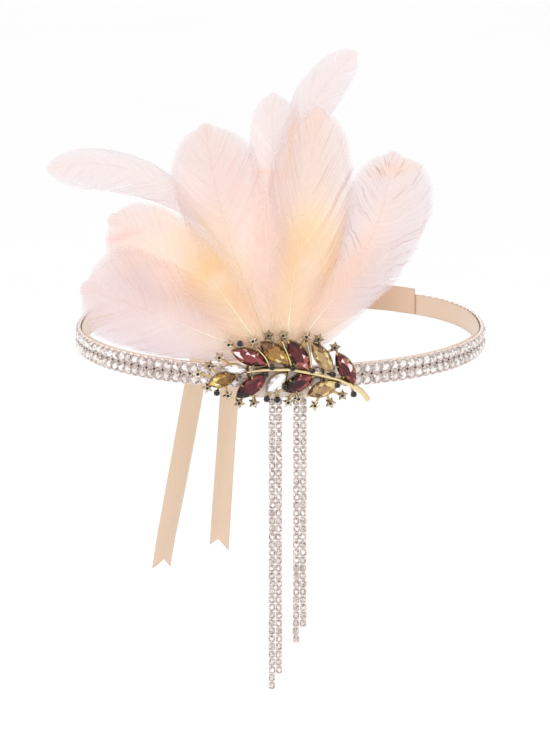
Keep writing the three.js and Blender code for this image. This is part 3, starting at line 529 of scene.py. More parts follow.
def ribbon_body(middles, across, out, width, thickness, shape=None):
    """A closed ribbon: its middles, and at each the directions across it and out of its face. shape gives
    (sideways share, extra along, extra out) for a row and a column."""
    columns = np.linspace(-1, 1, 13)
    rows = len(middles)
    length = np.r_[0, np.cumsum(np.linalg.norm(np.diff(middles, axis=0), axis=1))]
    along = unit(np.gradient(middles, axis=0))
    selvedge = 1 + 0.35 * np.exp(-((1 - np.abs(columns)) / 0.08) ** 2)
    half = thickness / 2 * selvedge * np.where(np.abs(columns) == 1, 0.35, 1)
    points, uv = [], []
    for i in range(rows):
        row = []
        for s, h in zip(columns, half):
            wide, ahead, rise = shape(i / (rows - 1), s) if shape else (s, 0.0, 0.0)
            middle = middles[i] + across[i] * wide * width / 2 + along[i] * ahead + out[i] * rise
            row.append((middle, out[i] * h, (length[i] + ahead, wide * width / 2)))
        ring = [m + h for m, h, _ in row] + [m - h for m, h, _ in row[::-1]]
        points.append(ring)
        uv.extend([p for _, _, p in row] + [p for _, _, p in row[::-1]])
    around = 2 * len(columns)
    faces = grid_faces(rows, around, around=True)
    for j in range(len(columns) - 1):
        end = (rows - 1) * around
        faces.append((j + 1, j, around - 1 - j, around - 2 - j))
        faces.append((end + j, end + j + 1, end + around - 2 - j, end + around - 1 - j))
    return np.array(points).reshape(-1, 3), faces, np.array(uv), length[-1]


def ribbon_tints_and_shade(points, rows, stops, outer=None):
    """A tint for each point of a ribbon, from (share of its length, hex colour) stops. outer is the tint
    of its outward face, and the stops then hold only for the inner face; on the tie they darken it as painted
    shadow."""
    colors = np.array([linear(color) for _, color in stops])
    places = [place for place, _ in stops]
    around = len(points) // rows
    shares = np.linspace(0, 1, rows)
    tint = np.stack([np.interp(shares, places, colors[:, k]) for k in range(3)], -1)
    tint = np.repeat(tint[:, None], around, axis=1)
    if outer:
        tint[:, :around // 2] = linear(outer)
    return {"tint_and_shade": tint.reshape(-1, 3)}


def ribbon(name, satin, stands_for, middles, across, out, stops, shape, outer=None, width=RIBBON_WIDTH,
           thickness=RIBBON_THICKNESS):
    """A length of ribbon as a piece, and its length."""
    points, faces, uv, length = ribbon_body(middles, across, out, width, thickness, shape)
    return piece(name, points, faces, [satin], stands_for, uv=uv,
                 layers=ribbon_tints_and_shade(points, len(middles), stops, outer)), length


def tape_and_ties(satin):
    turns = even_turns(-TAPE_REACH, TAPE_REACH, 0.5, 2.5)
    middles, out = on_oval(turns, TAPE_THICKNESS / 2 + 0.1)

    def rolled(t, s):
        bent = max(0.0, (abs(s) - 0.8) / 0.2)
        return s * (1 - 0.055 * bent), 0.0, -0.5 * bent
    tape, length = ribbon("sewn_tape", satin, ["band_tape"], middles, np.tile(UP, (len(turns), 1)), out,
                          [(0, "#F5F2F0")], rolled, width=TAPE_HEIGHT, thickness=TAPE_THICKNESS)
    knot_middle = on_oval(KNOT_TURN, KNOT_OFFSET)[0]

    def gathered(t, s):
        return s * (1 - 0.12 * max(0.0, t - 0.85) / 0.15), 0.0, -0.35 * abs(math.sin(5 * t))
    for side, name in ((1, "right"), (-1, "left")):
        stop = KNOT_TURN if side > 0 else 360 - KNOT_TURN
        while np.linalg.norm(on_oval(side * stop, -CLEARANCE)[0] - knot_middle) < KNOT_WIDTH / 2:
            stop -= 0.1
        turns = even_turns(side * TIE_START, side * stop, -CLEARANCE, 2.0)
        middles, out = on_oval(turns, -(CLEARANCE + RIBBON_THICKNESS / 2))
        wave = 0.22 * np.sin(np.linspace(0, 9, len(turns))) * np.linspace(0.2, 1, len(turns))
        middles[:, 2] += TIE_RISE + wave
        # The tie's inner face darkens from its start towards the knot: painted shadow of the plume. Its outer
        # face keeps one plain tint.
        tie, length = ribbon(f"tie_{name}", satin, [f"tie_ribbon_{name}"], middles,
                             np.tile(UP, (len(turns), 1)), out,
                             [(0, "#F2E8E4"), (0.14, "#E4D6CE"), (0.35, "#D0BCAC")], gathered, "#F3F0EC")


def smooth_line(points, count):
    """A smooth line through points, at even steps of its own count."""
    points = np.asarray(points, float)
    padded = np.vstack([2 * points[0] - points[1], points, 2 * points[-1] - points[-2]])
    line = []
    for place in np.linspace(0, len(points) - 1, count):
        i = min(int(place), len(points) - 2)
        t = place - i
        a, b, c, d = padded[i:i + 4]
        line.append(0.5 * (2 * b + (c - a) * t + (2 * a - 5 * b + 4 * c - d) * t ** 2
                           + (3 * b - a - 3 * c + d) * t ** 3))
    return np.array(line)


def tails(satin, knot):
    """The two tails: they hang in a slight wave, turn edge on and end in a notch."""
    def notched(t, s):
        return (s * (0.93 + 0.07 * min(1.0, t / 0.1)),
                -TAIL_NOTCH * (1 - abs(s)) * max(0.0, (t - 0.95) / 0.05),
                0.35 * math.sin(2.2 * s + 6 * t) * min(1.0, 4 * t) + 0.5 * s * s)
    for name, line, drop, spread, twist, stagger in TAILS:
        flat = smooth_line(line, 64) * drop
        share = np.linspace(0, 1, len(flat))
        middles = np.c_[knot[0] + spread + flat[:, 0],
                        knot[1] + stagger + 0.8 * np.sin(5.2 * share) * share,
                        knot[2] - KNOT_HEIGHT / 2 + 0.9 - flat[:, 1]]
        along = unit(np.gradient(middles, axis=0))
        turned = np.radians(twist * (1 + 0.1 * share))
        across = unit(np.c_[-along[:, 2] * np.cos(turned), np.sin(turned), along[:, 0] * np.cos(turned)])
        tail, length = ribbon(f"tail_{name}", satin, [f"ribbon_tail_{name}"], middles, across,
                              unit(np.cross(across, along)),
                              [(0, "#F7F2F2"), (0.4, "#EDEEE9"), (1, "#F2EFEC")], notched)


def knot_of_ribbon(satin, knot):
    """Gathered ribbon that runs through the knot, and ribbon wound over it with its end tucked under."""
    facing = unit(on_oval(KNOT_TURN + 1)[0] - on_oval(KNOT_TURN - 1)[0])
    normal = np.array([facing[1], -facing[0], 0.0])
    rings = []
    for place in np.linspace(-1, 1, 33):
        pinch = 0.6 + 0.4 * abs(place) ** 1.5
        ring = []
        for angle in (2 * math.pi * k / 48 for k in range(48)):
            pleat = 1 + 0.1 * math.cos(9 * angle + 1.3 * place)
            ring.append(knot + facing * place * (KNOT_WIDTH / 2 - 0.2)
                        + UP * 5.6 * pinch * pleat * math.sin(angle)
                        + normal * 1.6 * (1.3 - 0.6 * abs(place)) * pleat * math.cos(angle))
        rings.append(ring)
    points, faces = loft(rings)
    core = piece("knot_core", points, faces, [satin],
                 uv=np.c_[(points - knot) @ facing, (points - knot) @ UP],
                 layers=ribbon_tints_and_shade(points, len(rings), [(0, "#EEE2D8")]))
    turns = np.linspace(-math.pi / 2 - 0.4, 1.62 * math.pi, 90)
    grow = np.linspace(0.0, 0.55, len(turns))
    middles = np.array([knot + normal * (2.9 + g) * math.cos(a) + UP * (6.2 + g) * math.sin(a)
                        for a, g in zip(turns, grow)])
    middles += facing * 0.9 * np.sin(turns / 2)[:, None]
    across = np.tile(facing, (len(turns), 1))

    def bowed(t, s):
        return s * 0.86, 0.0, -0.28 * math.cos(3.2 * math.pi * s) - 0.5 * s * s
    wrap, length = ribbon("knot_wrap", satin, ["ribbon_knot"], middles, across,
                          unit(np.cross(across, unit(np.gradient(middles, axis=0)))), [(0, "#F2EAE4")],
                          bowed)


# ---- Cut stones


TABLE, STAR, KITE, GIRDLE, WALL = range(5)


def cut_stone(outline, heights, shares):
    """A stone cut with a table, eight stars, eight kites and sixteen girdle facets. outline gives a rim
    point for a share of the turn; heights and shares are for the foot, girdle, middle and table."""
    def ring(count, start, level):
        rim = np.array([outline((k + start) / count) for k in range(count)]) * shares[level]
        return np.c_[rim, np.full(count, heights[level])]
    points = np.concatenate([ring(8, 0, 3), ring(8, 0.5, 2), ring(16, 0, 1), ring(16, 0, 0)])
    table, middle, girdle, foot = 0, 8, 16, 32
    faces = [tuple(range(8))]
    kinds = [TABLE]
    for k in range(8):
        n = (k + 1) % 8
        before = (k - 1) % 8
        faces.append((table + k, middle + k, table + n))
        faces.append((table + k, middle + before, girdle + 2 * k, middle + k))
        faces.append((middle + k, girdle + 2 * k, girdle + 2 * k + 1))
        faces.append((middle + k, girdle + 2 * k + 1, girdle + (2 * k + 2) % 16))
        kinds += [STAR, KITE, GIRDLE, GIRDLE]
    for k in range(16):
        n = (k + 1) % 16
        faces.append((girdle + k, foot + k, foot + n, girdle + n))
    faces.append(tuple(foot + k for k in range(16))[::-1])
    return points, faces, kinds + [WALL] * 17


# Range of painted glint brightness for each kind of facet, in the same order
CLEAR_GLINTS = [(0.5, 1.0), (0.1, 1.0), (0.15, 0.95), (0.0, 0.85), (0.0, 0.3)]
DROP_GLINTS = [(0.2, 1.0), (0.0, 0.9), (0.05, 0.85), (0.0, 0.7), (0.0, 0.2)]
COLORED_GLINTS = [(0.25, 0.6), (0.05, 1.0), (0.05, 0.9), (0.0, 0.75), (0.0, 0.15)]


def glints(kinds, copies, ranges, chance):
    """A painted glint for every facet of several stones."""
    low, high = np.array([ranges[k] for k in kinds]).T
    return (low + (high - low) * chance.random((copies, len(kinds)))).ravel()


def lit_glints(points, faces, kinds, ranges, turn, chance):
    """A painted glint for every facet of one stone, brighter towards a turn in the front view, as painted
    light from that side.
    """
    middles = np.array([np.mean([points[i][:2] for i in face], 0) for face in faces])
    ahead = middles @ ray(math.radians(turn))
    # painted light: facets towards the turn are brighter
    lean = 0.5 + 0.5 * ahead / np.abs(ahead).max()
    low, high = np.array([ranges[k] for k in kinds]).T
    mixed = 0.5 * chance.random(len(kinds)) + 0.5 * lean
    return low + (high - low) * np.clip(0.5 + 1.6 * (mixed - 0.5), 0, 1)


def round_rim(radius):
    return lambda share: (radius * math.cos(2 * math.pi * share), radius * math.sin(2 * math.pi * share))


def square_cup(side, height, wall):
    """A square cup with rounded corners and an open top."""
    def ring(half, h):
        return [(half * np.sign(math.cos(a)) * abs(math.cos(a)) ** 0.45,
                 half * np.sign(math.sin(a)) * abs(math.sin(a)) ** 0.45, h)
                for a in (2 * math.pi * (k + 0.5) / 12 for k in range(12))]
    return loft([ring(side / 2 * 0.96, 0.0), ring(side / 2, 0.15), ring(side / 2, height),
                 ring(side / 2 - wall, height), ring(side / 2 - wall, height - 0.35)])


def claw(reach, turn, low, high, lean, wide):
    """A prong: it stands on the cup's rim and bends in over the stone."""
    out = np.array([math.cos(turn), math.sin(turn), 0.0])
    side = np.array([-math.sin(turn), math.cos(turn), 0.0])
    rings = []
    for height, inward, share in ((low, 0.0, 1.0), ((low + high) / 2, 0.02, 0.95), (high, lean, 0.8),
                                  (high + 0.1, lean * 1.8, 0.45)):
        middle = out * (reach - inward) + UP * height
        half, thin = side * wide / 2 * share, out * 0.14 * share
        rings.append([middle - half - thin, middle + half - thin, middle + half + thin,
                      middle - half + thin])
    return loft(rings)


def clawed_cup(side, height, wall, stretch, reach, low, high, lean, wide, extra=()):
    """A square cup with four claws at its corners, stretched upwards, and what hangs on it."""
    points, faces = joined([square_cup(side, height, wall),
                            *[claw(reach, math.radians(45 + 90 * k), low, high, lean, wide)
                              for k in range(4)]])
    return joined([(points * [1, stretch, 1], faces), *extra])


def set_chain(kind, name, replaced, metal, crystal, cup, stone, origins, axes, stone_axes, ranges, chance):
    """A length of crystal chain: all its cups as one piece and all its crystals as another."""
    shape, facets, kinds = stone
    points, faces = scattered(*cup, origins, *axes)
    piece(f"{kind}_cups_{name}", points, faces, [metal], [replaced], smooth=False)
    points, faces = scattered(shape, facets, origins, *stone_axes)
    piece(f"{kind}_crystals_{name}", points, faces, [crystal], smooth=False,
          layers={"glint": glints(kinds, len(origins), ranges, chance)})


def crystal_chains(metal, crystal):
    chance = np.random.default_rng(SEEDS["chains"])
    start = math.degrees(math.asin((PAD_WIDTH / 2 + CLEARANCE) / (HEAD_HALF_WIDTH + CUP_BACK)))
    turns = even_turns(start, CHAIN_REACH, 2.2, STONE_PITCH)
    middles = (turns[1:] + turns[:-1]) / 2
    stone = cut_stone(round_rim(CRYSTAL_RADIUS), *CRYSTAL_CUT)
    cup = clawed_cup(side=CUP_SIDE, height=1.3, wall=0.25, stretch=CUP_STRETCH, reach=2.5, low=0.6,
                     high=1.6, lean=0.3, wide=0.8)
    for side, name in ((-1, "left"), (1, "right")):
        places, out = on_oval(side * middles, CUP_BACK)
        origins = np.concatenate([places + UP * h for h in (-ROW_RISE, ROW_RISE)])
        outs = np.concatenate([out, out])
        ups = np.tile(UP, (len(outs), 1))
        # the crystals sit a little askew in their cups
        sway = unit(outs + 0.05 * chance.normal(size=outs.shape))
        across = unit(np.cross(ups, sway))
        set_chain("chain", name, f"crystal_chain_{name}", metal, crystal, cup, stone, origins,
                  (np.cross(ups, outs), ups, outs), (across, np.cross(sway, across), sway),
                  CLEAR_GLINTS, chance)


def drop_chains(metal, crystal):
    chance = np.random.default_rng(SEEDS["drops"])
    stone = cut_stone(round_rim(DROP_CRYSTAL_RADIUS), *DROP_CUT)
    link = loft([[(-0.6, h, 0.1), (0.6, h, 0.1), (0.6, h, 0.5), (-0.6, h, 0.5)]
                 for h in (1.2, DROP_ROW - 1.2)])
    cup = clawed_cup(side=DROP_CUP_SIDE, height=0.8, wall=0.16, stretch=DROP_CUP_STRETCH, reach=1.5,
                     low=0.5, high=1.05, lean=0.2, wide=0.6, extra=[link])
    for name, middle, rows in DROPS:
        origins, turns = [], []
        for lane, count in ((-0.5, rows), (0.5, rows - 2)):
            drop = np.arange(count)
            sway = 0.1 * np.sin(drop / 5.0 + 2 * lane) * drop / rows
            origins.append(np.c_[middle + lane * DROP_LANE + sway, np.full(count, DROP_Y),
                                 DROP_TOP - DROP_ROW * (drop + 0.5)])
            turns.append(0.12 * np.sin(drop * 1.7 + lane) + 0.05 * chance.normal(size=count))
        origins, turns = np.concatenate(origins), np.concatenate(turns)
        across = np.c_[np.cos(turns), np.sin(turns), np.zeros(len(turns))]
        up = np.tile(UP, (len(turns), 1))
        axes = across, up, np.cross(across, up)
        set_chain("drop", name, f"drop_chain_{name}", metal, crystal, cup, stone, origins, axes, axes,
                  DROP_GLINTS, chance)


# ---- Brooch


def on_brooch(x, z):
    return np.array([BROOCH_X + x * BROOCH_HALF_WIDTH, BROOCH_Z + z * BROOCH_HALF_HEIGHT])


def raised(flat, height):
    flat = np.asarray(flat, float)
    return np.stack([flat[..., 0], BROOCH_BACK - np.broadcast_to(height, flat[..., 0].shape),
                     flat[..., 1]], -1)


def disc(middle, radius, height, count):
    """A ring of points round a place on the brooch."""
    return [raised(middle + radius * ray(a), height)
            for a in np.linspace(0, 2 * math.pi, count, endpoint=False)]


def marquise_rim(row, margin):
    """Rim of a pointed oval round its own middle, for a share of the turn from its right tip."""
    half_long = row["long"] * MARQUISE_LENGTH / 2 + margin
    half_wide = row["wide"] * MARQUISE_WIDTH / 2 + margin
    radius = (half_long ** 2 + half_wide ** 2) / (2 * half_wide)
    sweep = math.asin(min(1.0, half_long / radius))
    tilt = math.radians(row["tilt"])

    def rim(share):
        share = share % 1.0
        upper = share < 0.5
        angle = sweep * (1 - 4 * (share if upper else share - 0.5))
        x, z = radius * math.sin(angle), radius * math.cos(angle) - radius + half_wide
        x, z = (x, z) if upper else (-x, -z)
        return x * math.cos(tilt) - z * math.sin(tilt), x * math.sin(tilt) + z * math.cos(tilt)
    return rim


def marquise_stones(glasses):
    for number, row in enumerate(MARQUISES):
        chance = np.random.default_rng(SEEDS["stones"] + number)
        stone, facets, kinds = cut_stone(marquise_rim(row, 0.3), *MARQUISE_CUT)
        middle = on_brooch(row["x"], row["z"])
        points = raised(stone[:, :2] + middle, stone[:, 2])
        color = row["name"].split("_")[0]
        glint = lit_glints(stone, facets, kinds, COLORED_GLINTS, row["lit"], chance)
        # the stone's painted glints are raised or lowered as a whole by its lift, as a painted highlight
        piece(f"marquise_{row['name']}", points, facets, [glasses[color]],
              [f"stone_{row['name']}"], smooth=False, layers={"glint": glint + row["glint_lift"]})


def ridge(line, heights):
    """A rounded bar on the brooch through (flat point, width) pairs; heights are at its foot and crest."""
    fine = smooth_line([(*on_brooch(x, z), width) for x, z, width in line], 6 * (len(line) - 1) + 1)
    along = unit(np.gradient(fine[:, :2], axis=0))
    across = np.c_[-along[:, 1], along[:, 0]]
    foot, crest = heights
    rings = []
    for place, side, width in zip(fine[:, :2], across, fine[:, 2]):
        ring = [raised(place - side * width / 2, foot)]
        for angle in np.linspace(180, 0, 7):
            reach = width / 2 * math.cos(math.radians(angle))
            height = crest - width / 2 + width / 2 * math.sin(math.radians(angle))
            ring.append(raised(place + side * reach, height))
        ring.append(raised(place + side * width / 2, foot))
        rings.append(ring)
    return loft(rings)


def bezel(row):
    """A marquise setting: floor, wall and a rolled rim with six claws over the stone."""
    middle = on_brooch(row["x"], row["z"])
    phases = np.arange(BEZEL_STEPS) / BEZEL_STEPS

    def ring(margin, height):
        rim = marquise_rim(row, margin)
        return raised(np.array([rim(p) for p in phases]) + middle, height)
    wall = loft([ring(0.6, 0.0), ring(0.58, 1.2), ring(0.55, 2.2), ring(0.48, BEZEL_HEIGHT),
                 ring(0.34, BEZEL_HEIGHT - 0.05), ring(0.32, 0.8)])
    claws = []
    for share in (0.0, 0.17, 0.33, 0.5, 0.67, 0.83):
        outer, inner = marquise_rim(row, 0.6)(share), marquise_rim(row, -0.75)(share)
        out = unit(np.array(outer) - np.array(inner))
        side = np.array([-out[1], out[0]])
        rings = []
        for reach, height, wide in ((0.1, 2.0, 0.4), (0.05, 3.1, 0.36), (0.7, 3.5, 0.28),
                                    (1.0, 3.55, 0.16)):
            place = middle + np.array(outer) - out * reach
            low, high = height - BEZEL_CLAW_HALF, height + BEZEL_CLAW_HALF
            rings.append([raised(place - side * wide, low), raised(place + side * wide, low),
                          raised(place + side * wide - out * 0.1, high),
                          raised(place - side * wide - out * 0.1, high)])
        claws.append(loft(rings))
    return wall, joined(claws)


def star_flower(x, z, turn):
    """A five-pointed flower: each arm has a sharp ridge, and a round collar holds the middle stone."""
    middle = on_brooch(x, z)
    outline, crest = [], []
    for k in range(10):
        radius = 1.35 if k % 2 else 2.5
        angle = math.radians(90 + 36 * k + turn)
        outline.append(middle + radius * ray(angle))
        crest.append(middle + radius * 0.45 * ray(angle))
    base = [raised(p, 0.0) for p in outline]
    edge = [raised(p, 0.85 if k % 2 else 1.0) for k, p in enumerate(outline)]
    top = [raised(p, 1.15 if k % 2 else 1.75) for k, p in enumerate(crest)]
    collar = loft([disc(middle, radius, height, 10) for radius, height in (
        (1.05, 0.9), (1.05, 1.6), (0.9, 1.8), (0.72, 1.75), (0.7, 1.2))])
    return joined([loft([base, edge, top]), collar])


def round_setting(x, z, radius, height):
    """A round cup with four claws for a small stone."""
    middle = on_brooch(x, z)
    wall = loft([disc(middle, radius * share, h, 14) for share, h in (
        (0.8, 0.0), (0.95, height * 0.5), (1.0, height - 0.7), (0.88, height - 0.55),
        (0.85, height - 0.9))])
    claws = []
    for k in range(4):
        points, faces = claw(radius, math.radians(45 + 90 * k), height - 1.0, height - 0.15, 0.28, 0.45)
        claws.append((raised(points[:, :2] + middle, points[:, 2]), faces))
    return joined([wall, *claws])


def strut(start, end, width=1.1, height=0.8):
    along = unit(end - start)
    side = np.array([-along[1], along[0]]) * width / 2
    rings = [[raised(p - side, 0.0), raised(p + side, 0.0), raised(p + side * 0.7, height),
              raised(p - side * 0.7, height)] for p in (start, end)]
    return loft(rings)


def brooch(gold, dull_gold, jet):
    stones = [on_brooch(m["x"], m["z"]) for m in MARQUISES]
    stem = [on_brooch(x, z) for x, z, _ in STEM]

    def nearest(point, others):
        return min(others, key=lambda q: float(np.linalg.norm(q - point)))
    settings = [bezel(row) for row in MARQUISES]
    edges = [on_brooch(x, z) for x, z in STARS + OUTER_BEADS + [twig[0][:2] for twig in TWIGS]]
    # how far each kind of part was buffed; the walls round the clear stones are also painted glare
    parts = [(ridge([(x, z, 1.5 * w) for x, z, w in STEM], (0.0, 3.6)), 1.0)]
    parts += [(ridge([(x, z, 1.5 * w) for x, z, w in twig], (0.0, 3.1)), 0.95) for twig in TWIGS]
    # walls round the clear stones get full polish as painted glare off those stones
    parts += [(wall, 1.0 if row["name"].startswith("clear") else 0.45)
              for row, (wall, _) in zip(MARQUISES, settings)]
    parts += [(claws, 0.6) for _, claws in settings]
    parts += [(round_setting(x, z, 1.3, 2.4), 0.4) for x, z in OUTER_BEADS]
    parts += [(round_setting(x, z, 1.17, 4.2), 0.4) for x, z in STEM_BEADS]
    parts += [(strut(p, nearest(p, stem)), 0.5) for p in stones]
    parts += [(strut(p, nearest(p, stones)), 1.6) for p in edges]
    parts += [(strut(on_brooch(x, z), nearest(on_brooch(x, z), stem)), 0.4) for x, z in STEM_BEADS]
    buffed_and_glare = np.concatenate([np.full(len(part[0]), shine) for part, shine in parts])
    points, faces = joined([part for part, _ in parts])
    height = BROOCH_BACK - points[:, 1]
    polish_and_glare = np.maximum(buffed_and_glare * np.clip(height / 2.2, 0, 1) ** 0.8, np.where(height < 0.05, 0.45, 0))
    piece("leaf_spray", points, faces, [gold], ["brooch_frame"], smooth=False,
          layers={"polish_and_glare": polish_and_glare})
    points, faces = joined([star_flower(x, z, 17 * i) for i, (x, z) in enumerate(STARS)])
    chance = np.random.default_rng(SEEDS["stars"])
    worn = chance.uniform(0.7, 1.15, len(STARS)).repeat(len(points) // len(STARS))
    piece("star_flowers", points, faces, [dull_gold], smooth=False,
          layers={"polish_and_glare": worn * np.clip((BROOCH_BACK - points[:, 1]) / 1.2, 0.3, 1)})
    small, facets, kinds = cut_stone(round_rim(1.0), *JET_CUT)
    parts = [(raised(small[:, :2] * radius + on_brooch(x, z), base + small[:, 2]), facets)
             for places, radius, base in ((STARS, 0.7, 1.25), (OUTER_BEADS, 1.3, 1.6),
                                          (STEM_BEADS, 1.15, 3.5)) for x, z in places]
    points, faces = joined(parts)
    piece("jet_stones", points, faces, [jet], smooth=False,
          layers={"glint": glints(kinds, len(parts), COLORED_GLINTS, chance)})


# ---- Feathers
#
# t is a share of the rib's length. Of a barb, u is the share from the rib to the edge, and v says where it
# starts, from the vane's foot to its tip.


def rib_of(row):
    """A feather's rib in the front view, at even steps."""
    length = row["length"] * PLUME_HEIGHT
    shares = np.linspace(0, 1, RIB_STEPS + 1)
    turned = np.clip((shares - row["bend_from"]) / (1 - row["bend_from"]), 0, None)
    heading = np.radians(row["angle"] + row["bend"] * turned)
    step = length / RIB_STEPS
    x = row["root"] * PAD_WIDTH / 2 + np.r_[0, np.cumsum(step * np.sin(heading[1:]))]
    z = QUILL_BASE + np.r_[0, np.cumsum(step * np.cos(heading[1:]))]
    return dict(length=length, shares=shares, heading=heading, x=x, z=z)


def vane_share(t, row):
    """Vane width along a feather, from 0 to 1."""
    u = np.clip((t - row["bare"]) / (1 - row["bare"]), 0, 1)
    rise = np.sin(np.pi / 2 * np.minimum(u / row["widest"], 1)) ** row["rise"]
    fall = np.clip((u - row["widest"]) / (1 - row["widest"]), 0, 1)
    return np.where(u < row["widest"], rise, np.maximum(VANE_TIP, np.sqrt(np.maximum(1 - fall ** 2.4, 0))))


def on_feather(row, rib, t, lateral, side):
    """Points of the vane's surface at shares t of the rib and distances out from it."""
    inside = np.clip(t, 0, 1)
    heading = np.interp(inside, rib["shares"], rib["heading"])
    beyond = (t - inside) * rib["length"]
    shift = side * lateral
    x = np.interp(inside, rib["shares"], rib["x"]) + beyond * np.sin(heading) + shift * np.cos(heading)
    z = np.interp(inside, rib["shares"], rib["z"]) + beyond * np.cos(heading) - shift * np.sin(heading)
    reach = np.maximum(0, np.hypot(x, z - QUILL_BASE) - QUILL_SEAT)
    lean = math.radians(LAYER_LEAN * (LAYER_COUNT - 1 - row["layer"]))
    depth = (REAR_QUILL - row["layer"] * LAYER_PITCH + reach * math.tan(lean)
             + PLUME_CURL * reach ** 2 / PLUME_HEIGHT)
    half = np.maximum(vane_share(t, row) * row["right" if side > 0 else "left"] * rib["length"], 1.0)
    share = np.clip(lateral / half, 0, 1.1)
    freedom = np.minimum(reach / RIPPLE_REACH, 1)
    ripple = freedom * share * (0.55 * np.sin(9 * t + 2.3 * row["layer"] + side)
                                + 0.3 * np.sin(23 * t + 4 * share + row["root"] * 9))
    depth = depth + VANE_CUP * share ** 2 * half + ripple
    return np.stack([x, depth, z], -1), share


def dye_and_light_of(row, points, t, share):
    """Colour for points of a feather, from its dye bath and the spots in the front view: dye patches and
    painted light.
    """
    root, middle, edge = (linear(color) for color in DYES[row["dye"]])
    out = np.clip(share, 0, 1)[..., None] ** 1.6
    color = middle + (edge - middle) * out
    warm = np.clip(1 - (t - 0.08) / 0.42, 0, 1)[..., None] ** 1.2
    color = color + (root - color) * warm * (1 - 0.5 * out)
    # spots: the dye's own patches, and pale spots of painted light that lift the shade where layers overlap
    for x, z, wide, high, tilt, tint, strength, layer in DYE_AND_LIGHT_SPOTS:
        if row["layer"] < layer:
            continue
        sine, cosine = math.sin(math.radians(tilt)), math.cos(math.radians(tilt))
        dx, dz = points[..., 0] - x, points[..., 2] - z
        u, v = (dx * cosine - dz * sine) / wide, (dx * sine + dz * cosine) / high
        weight = strength * np.exp(-0.9 * (u ** 2 + v ** 2))[..., None]
        color = color + (linear(tint) - color) * weight
    return color


def strips(edges_a, edges_b):
    """Thin strips between two sets of lines: points and faces."""
    return joined([(np.stack([a, b], 1).reshape(-1, 3), grid_faces(len(a), 2))
                   for a, b in zip(edges_a, edges_b)])


def edge_of(row, length, reach):
    """A vane's edge, up to the rounded tip: shares of the rib, distances out and the length along it."""
    t = np.linspace(row["bare"], 1, 160)
    half = vane_share(t, row) * reach * length
    turn = np.radians(np.linspace(0, 90, 12)[1:])
    dome = 0.25 * VANE_TIP * (row["left"] + row["right"])
    t, half = np.r_[t, 1 + dome * np.sin(turn)], np.r_[half, half[-1] * np.cos(turn)]
    return t, half, np.r_[0, np.cumsum(np.hypot(np.diff(t) * length, np.diff(half)))]


def half_vane(row, rib, side, chance):
    """One side of a vane: barbs zipped into a web, parted in a few places. Returns points, faces, colours,
    cover, and the barbs' own points and colours."""
    length = rib["length"]
    edge_t, edge_half, along = edge_of(row, length, row["right" if side > 0 else "left"])
    first = row["bare"] - 0.03
    count = int((LAST_BARB - first) * length / BARB_PITCH)
    v = np.linspace(0, 1, count)[:, None]
    u = np.linspace(0, 1, BARB_STEPS + 1)[None]
    roots = first + (LAST_BARB - first) * v
    ends = along[-1] * (0.03 + 0.97 * v ** row["sweep"])
    tips, reach = np.interp(ends, along, edge_t), np.interp(ends, along, edge_half)
    ragged = 1 + 0.012 * chance.normal(size=(count, 1)) * np.minimum(1, 4 * (1 - v))
    waves = np.sin(17 * v + chance.uniform(0, 6)) + 0.6 * np.sin(43 * v + chance.uniform(0, 6))
    ragged = ragged + 0.012 * row["ragged"] * waves * np.minimum(1, 4 * (1 - v))
    t = roots + (tips - roots) * u ** 1.25
    lateral = reach * (u * ragged) ** 0.9
    crinkle = row["crinkle"] / length * u * np.minimum(1, 5 * (1 - v))
    t = t + crinkle * (0.55 * np.sin(13 * u + 9 * v + side) + 0.3 * np.sin(31 * u + 26 * v))
    partings = np.sort(chance.uniform(0.06, 0.8, size=row["partings"]))
    for place in partings:
        wide = chance.uniform(0.05, 0.2) / length
        t = t + np.sign(v - place) * wide * np.exp(-np.abs(v - place) / 0.035) * u ** 3
    middles, share = on_feather(row, rib, t, lateral, side)
    lift = chance.uniform(0, 6)
    middles[..., 1] += u * (0.16 * np.sin(41 * v + lift) + 0.08 * np.sin(97 * v + 2 * lift))
    faces = grid_faces(count, BARB_STEPS + 1)
    split = set(np.searchsorted(v[:, 0], partings) - 1)
    open_from = int(BARB_STEPS * 0.45)
    faces = [f for k, f in enumerate(faces)
             if not (k // BARB_STEPS in split and k % BARB_STEPS >= open_from)]
    color = dye_and_light_of(row, middles, t, share)
    streak = 1 + 0.018 * chance.normal(size=(count, 1, 1))
    # painted crease shade: a few barbs, and their neighbours more weakly, get a darker line in the row's
    # crease colour over part of their length
    line = np.where(chance.random((count, 1)) < row["busy"],
                    chance.uniform(0.12, 0.45, (count, 1)), 0.0)
    line = line + 0.4 * (np.roll(line, 1, axis=0) + np.roll(line, -1, axis=0))
    line = np.minimum(line * row["crease"], 0.85)
    starts = chance.uniform(0, 0.6, (count, 1))
    fade = np.clip((u - starts) * 5, 0, 1) * np.clip((starts + 0.5 - u) * 5, 0, 1)
    color = np.clip(color * np.minimum(streak, 1.04), 0, 0.97)
    color = color * (1 + (linear(row["line"]) - 1) * (line * fade)[..., None])
    soft = row["soft"]
    cover = (1 - soft) * np.interp(u, [0, 0.55, 0.82, 0.94, 1], [0.97, 0.94, 0.82, 0.5, 0.06])
    cover = cover + soft * np.interp(u, [0, 0.35, 0.7, 0.9, 1], [0.97, 0.85, 0.45, 0.14, 0.02])
    cover = cover * (1 - soft * np.clip((t - 0.5) / 0.5, 0, 1) ** 1.5)
    return middles.reshape(-1, 3), faces, color.reshape(-1, 3), cover.ravel(), middles, color


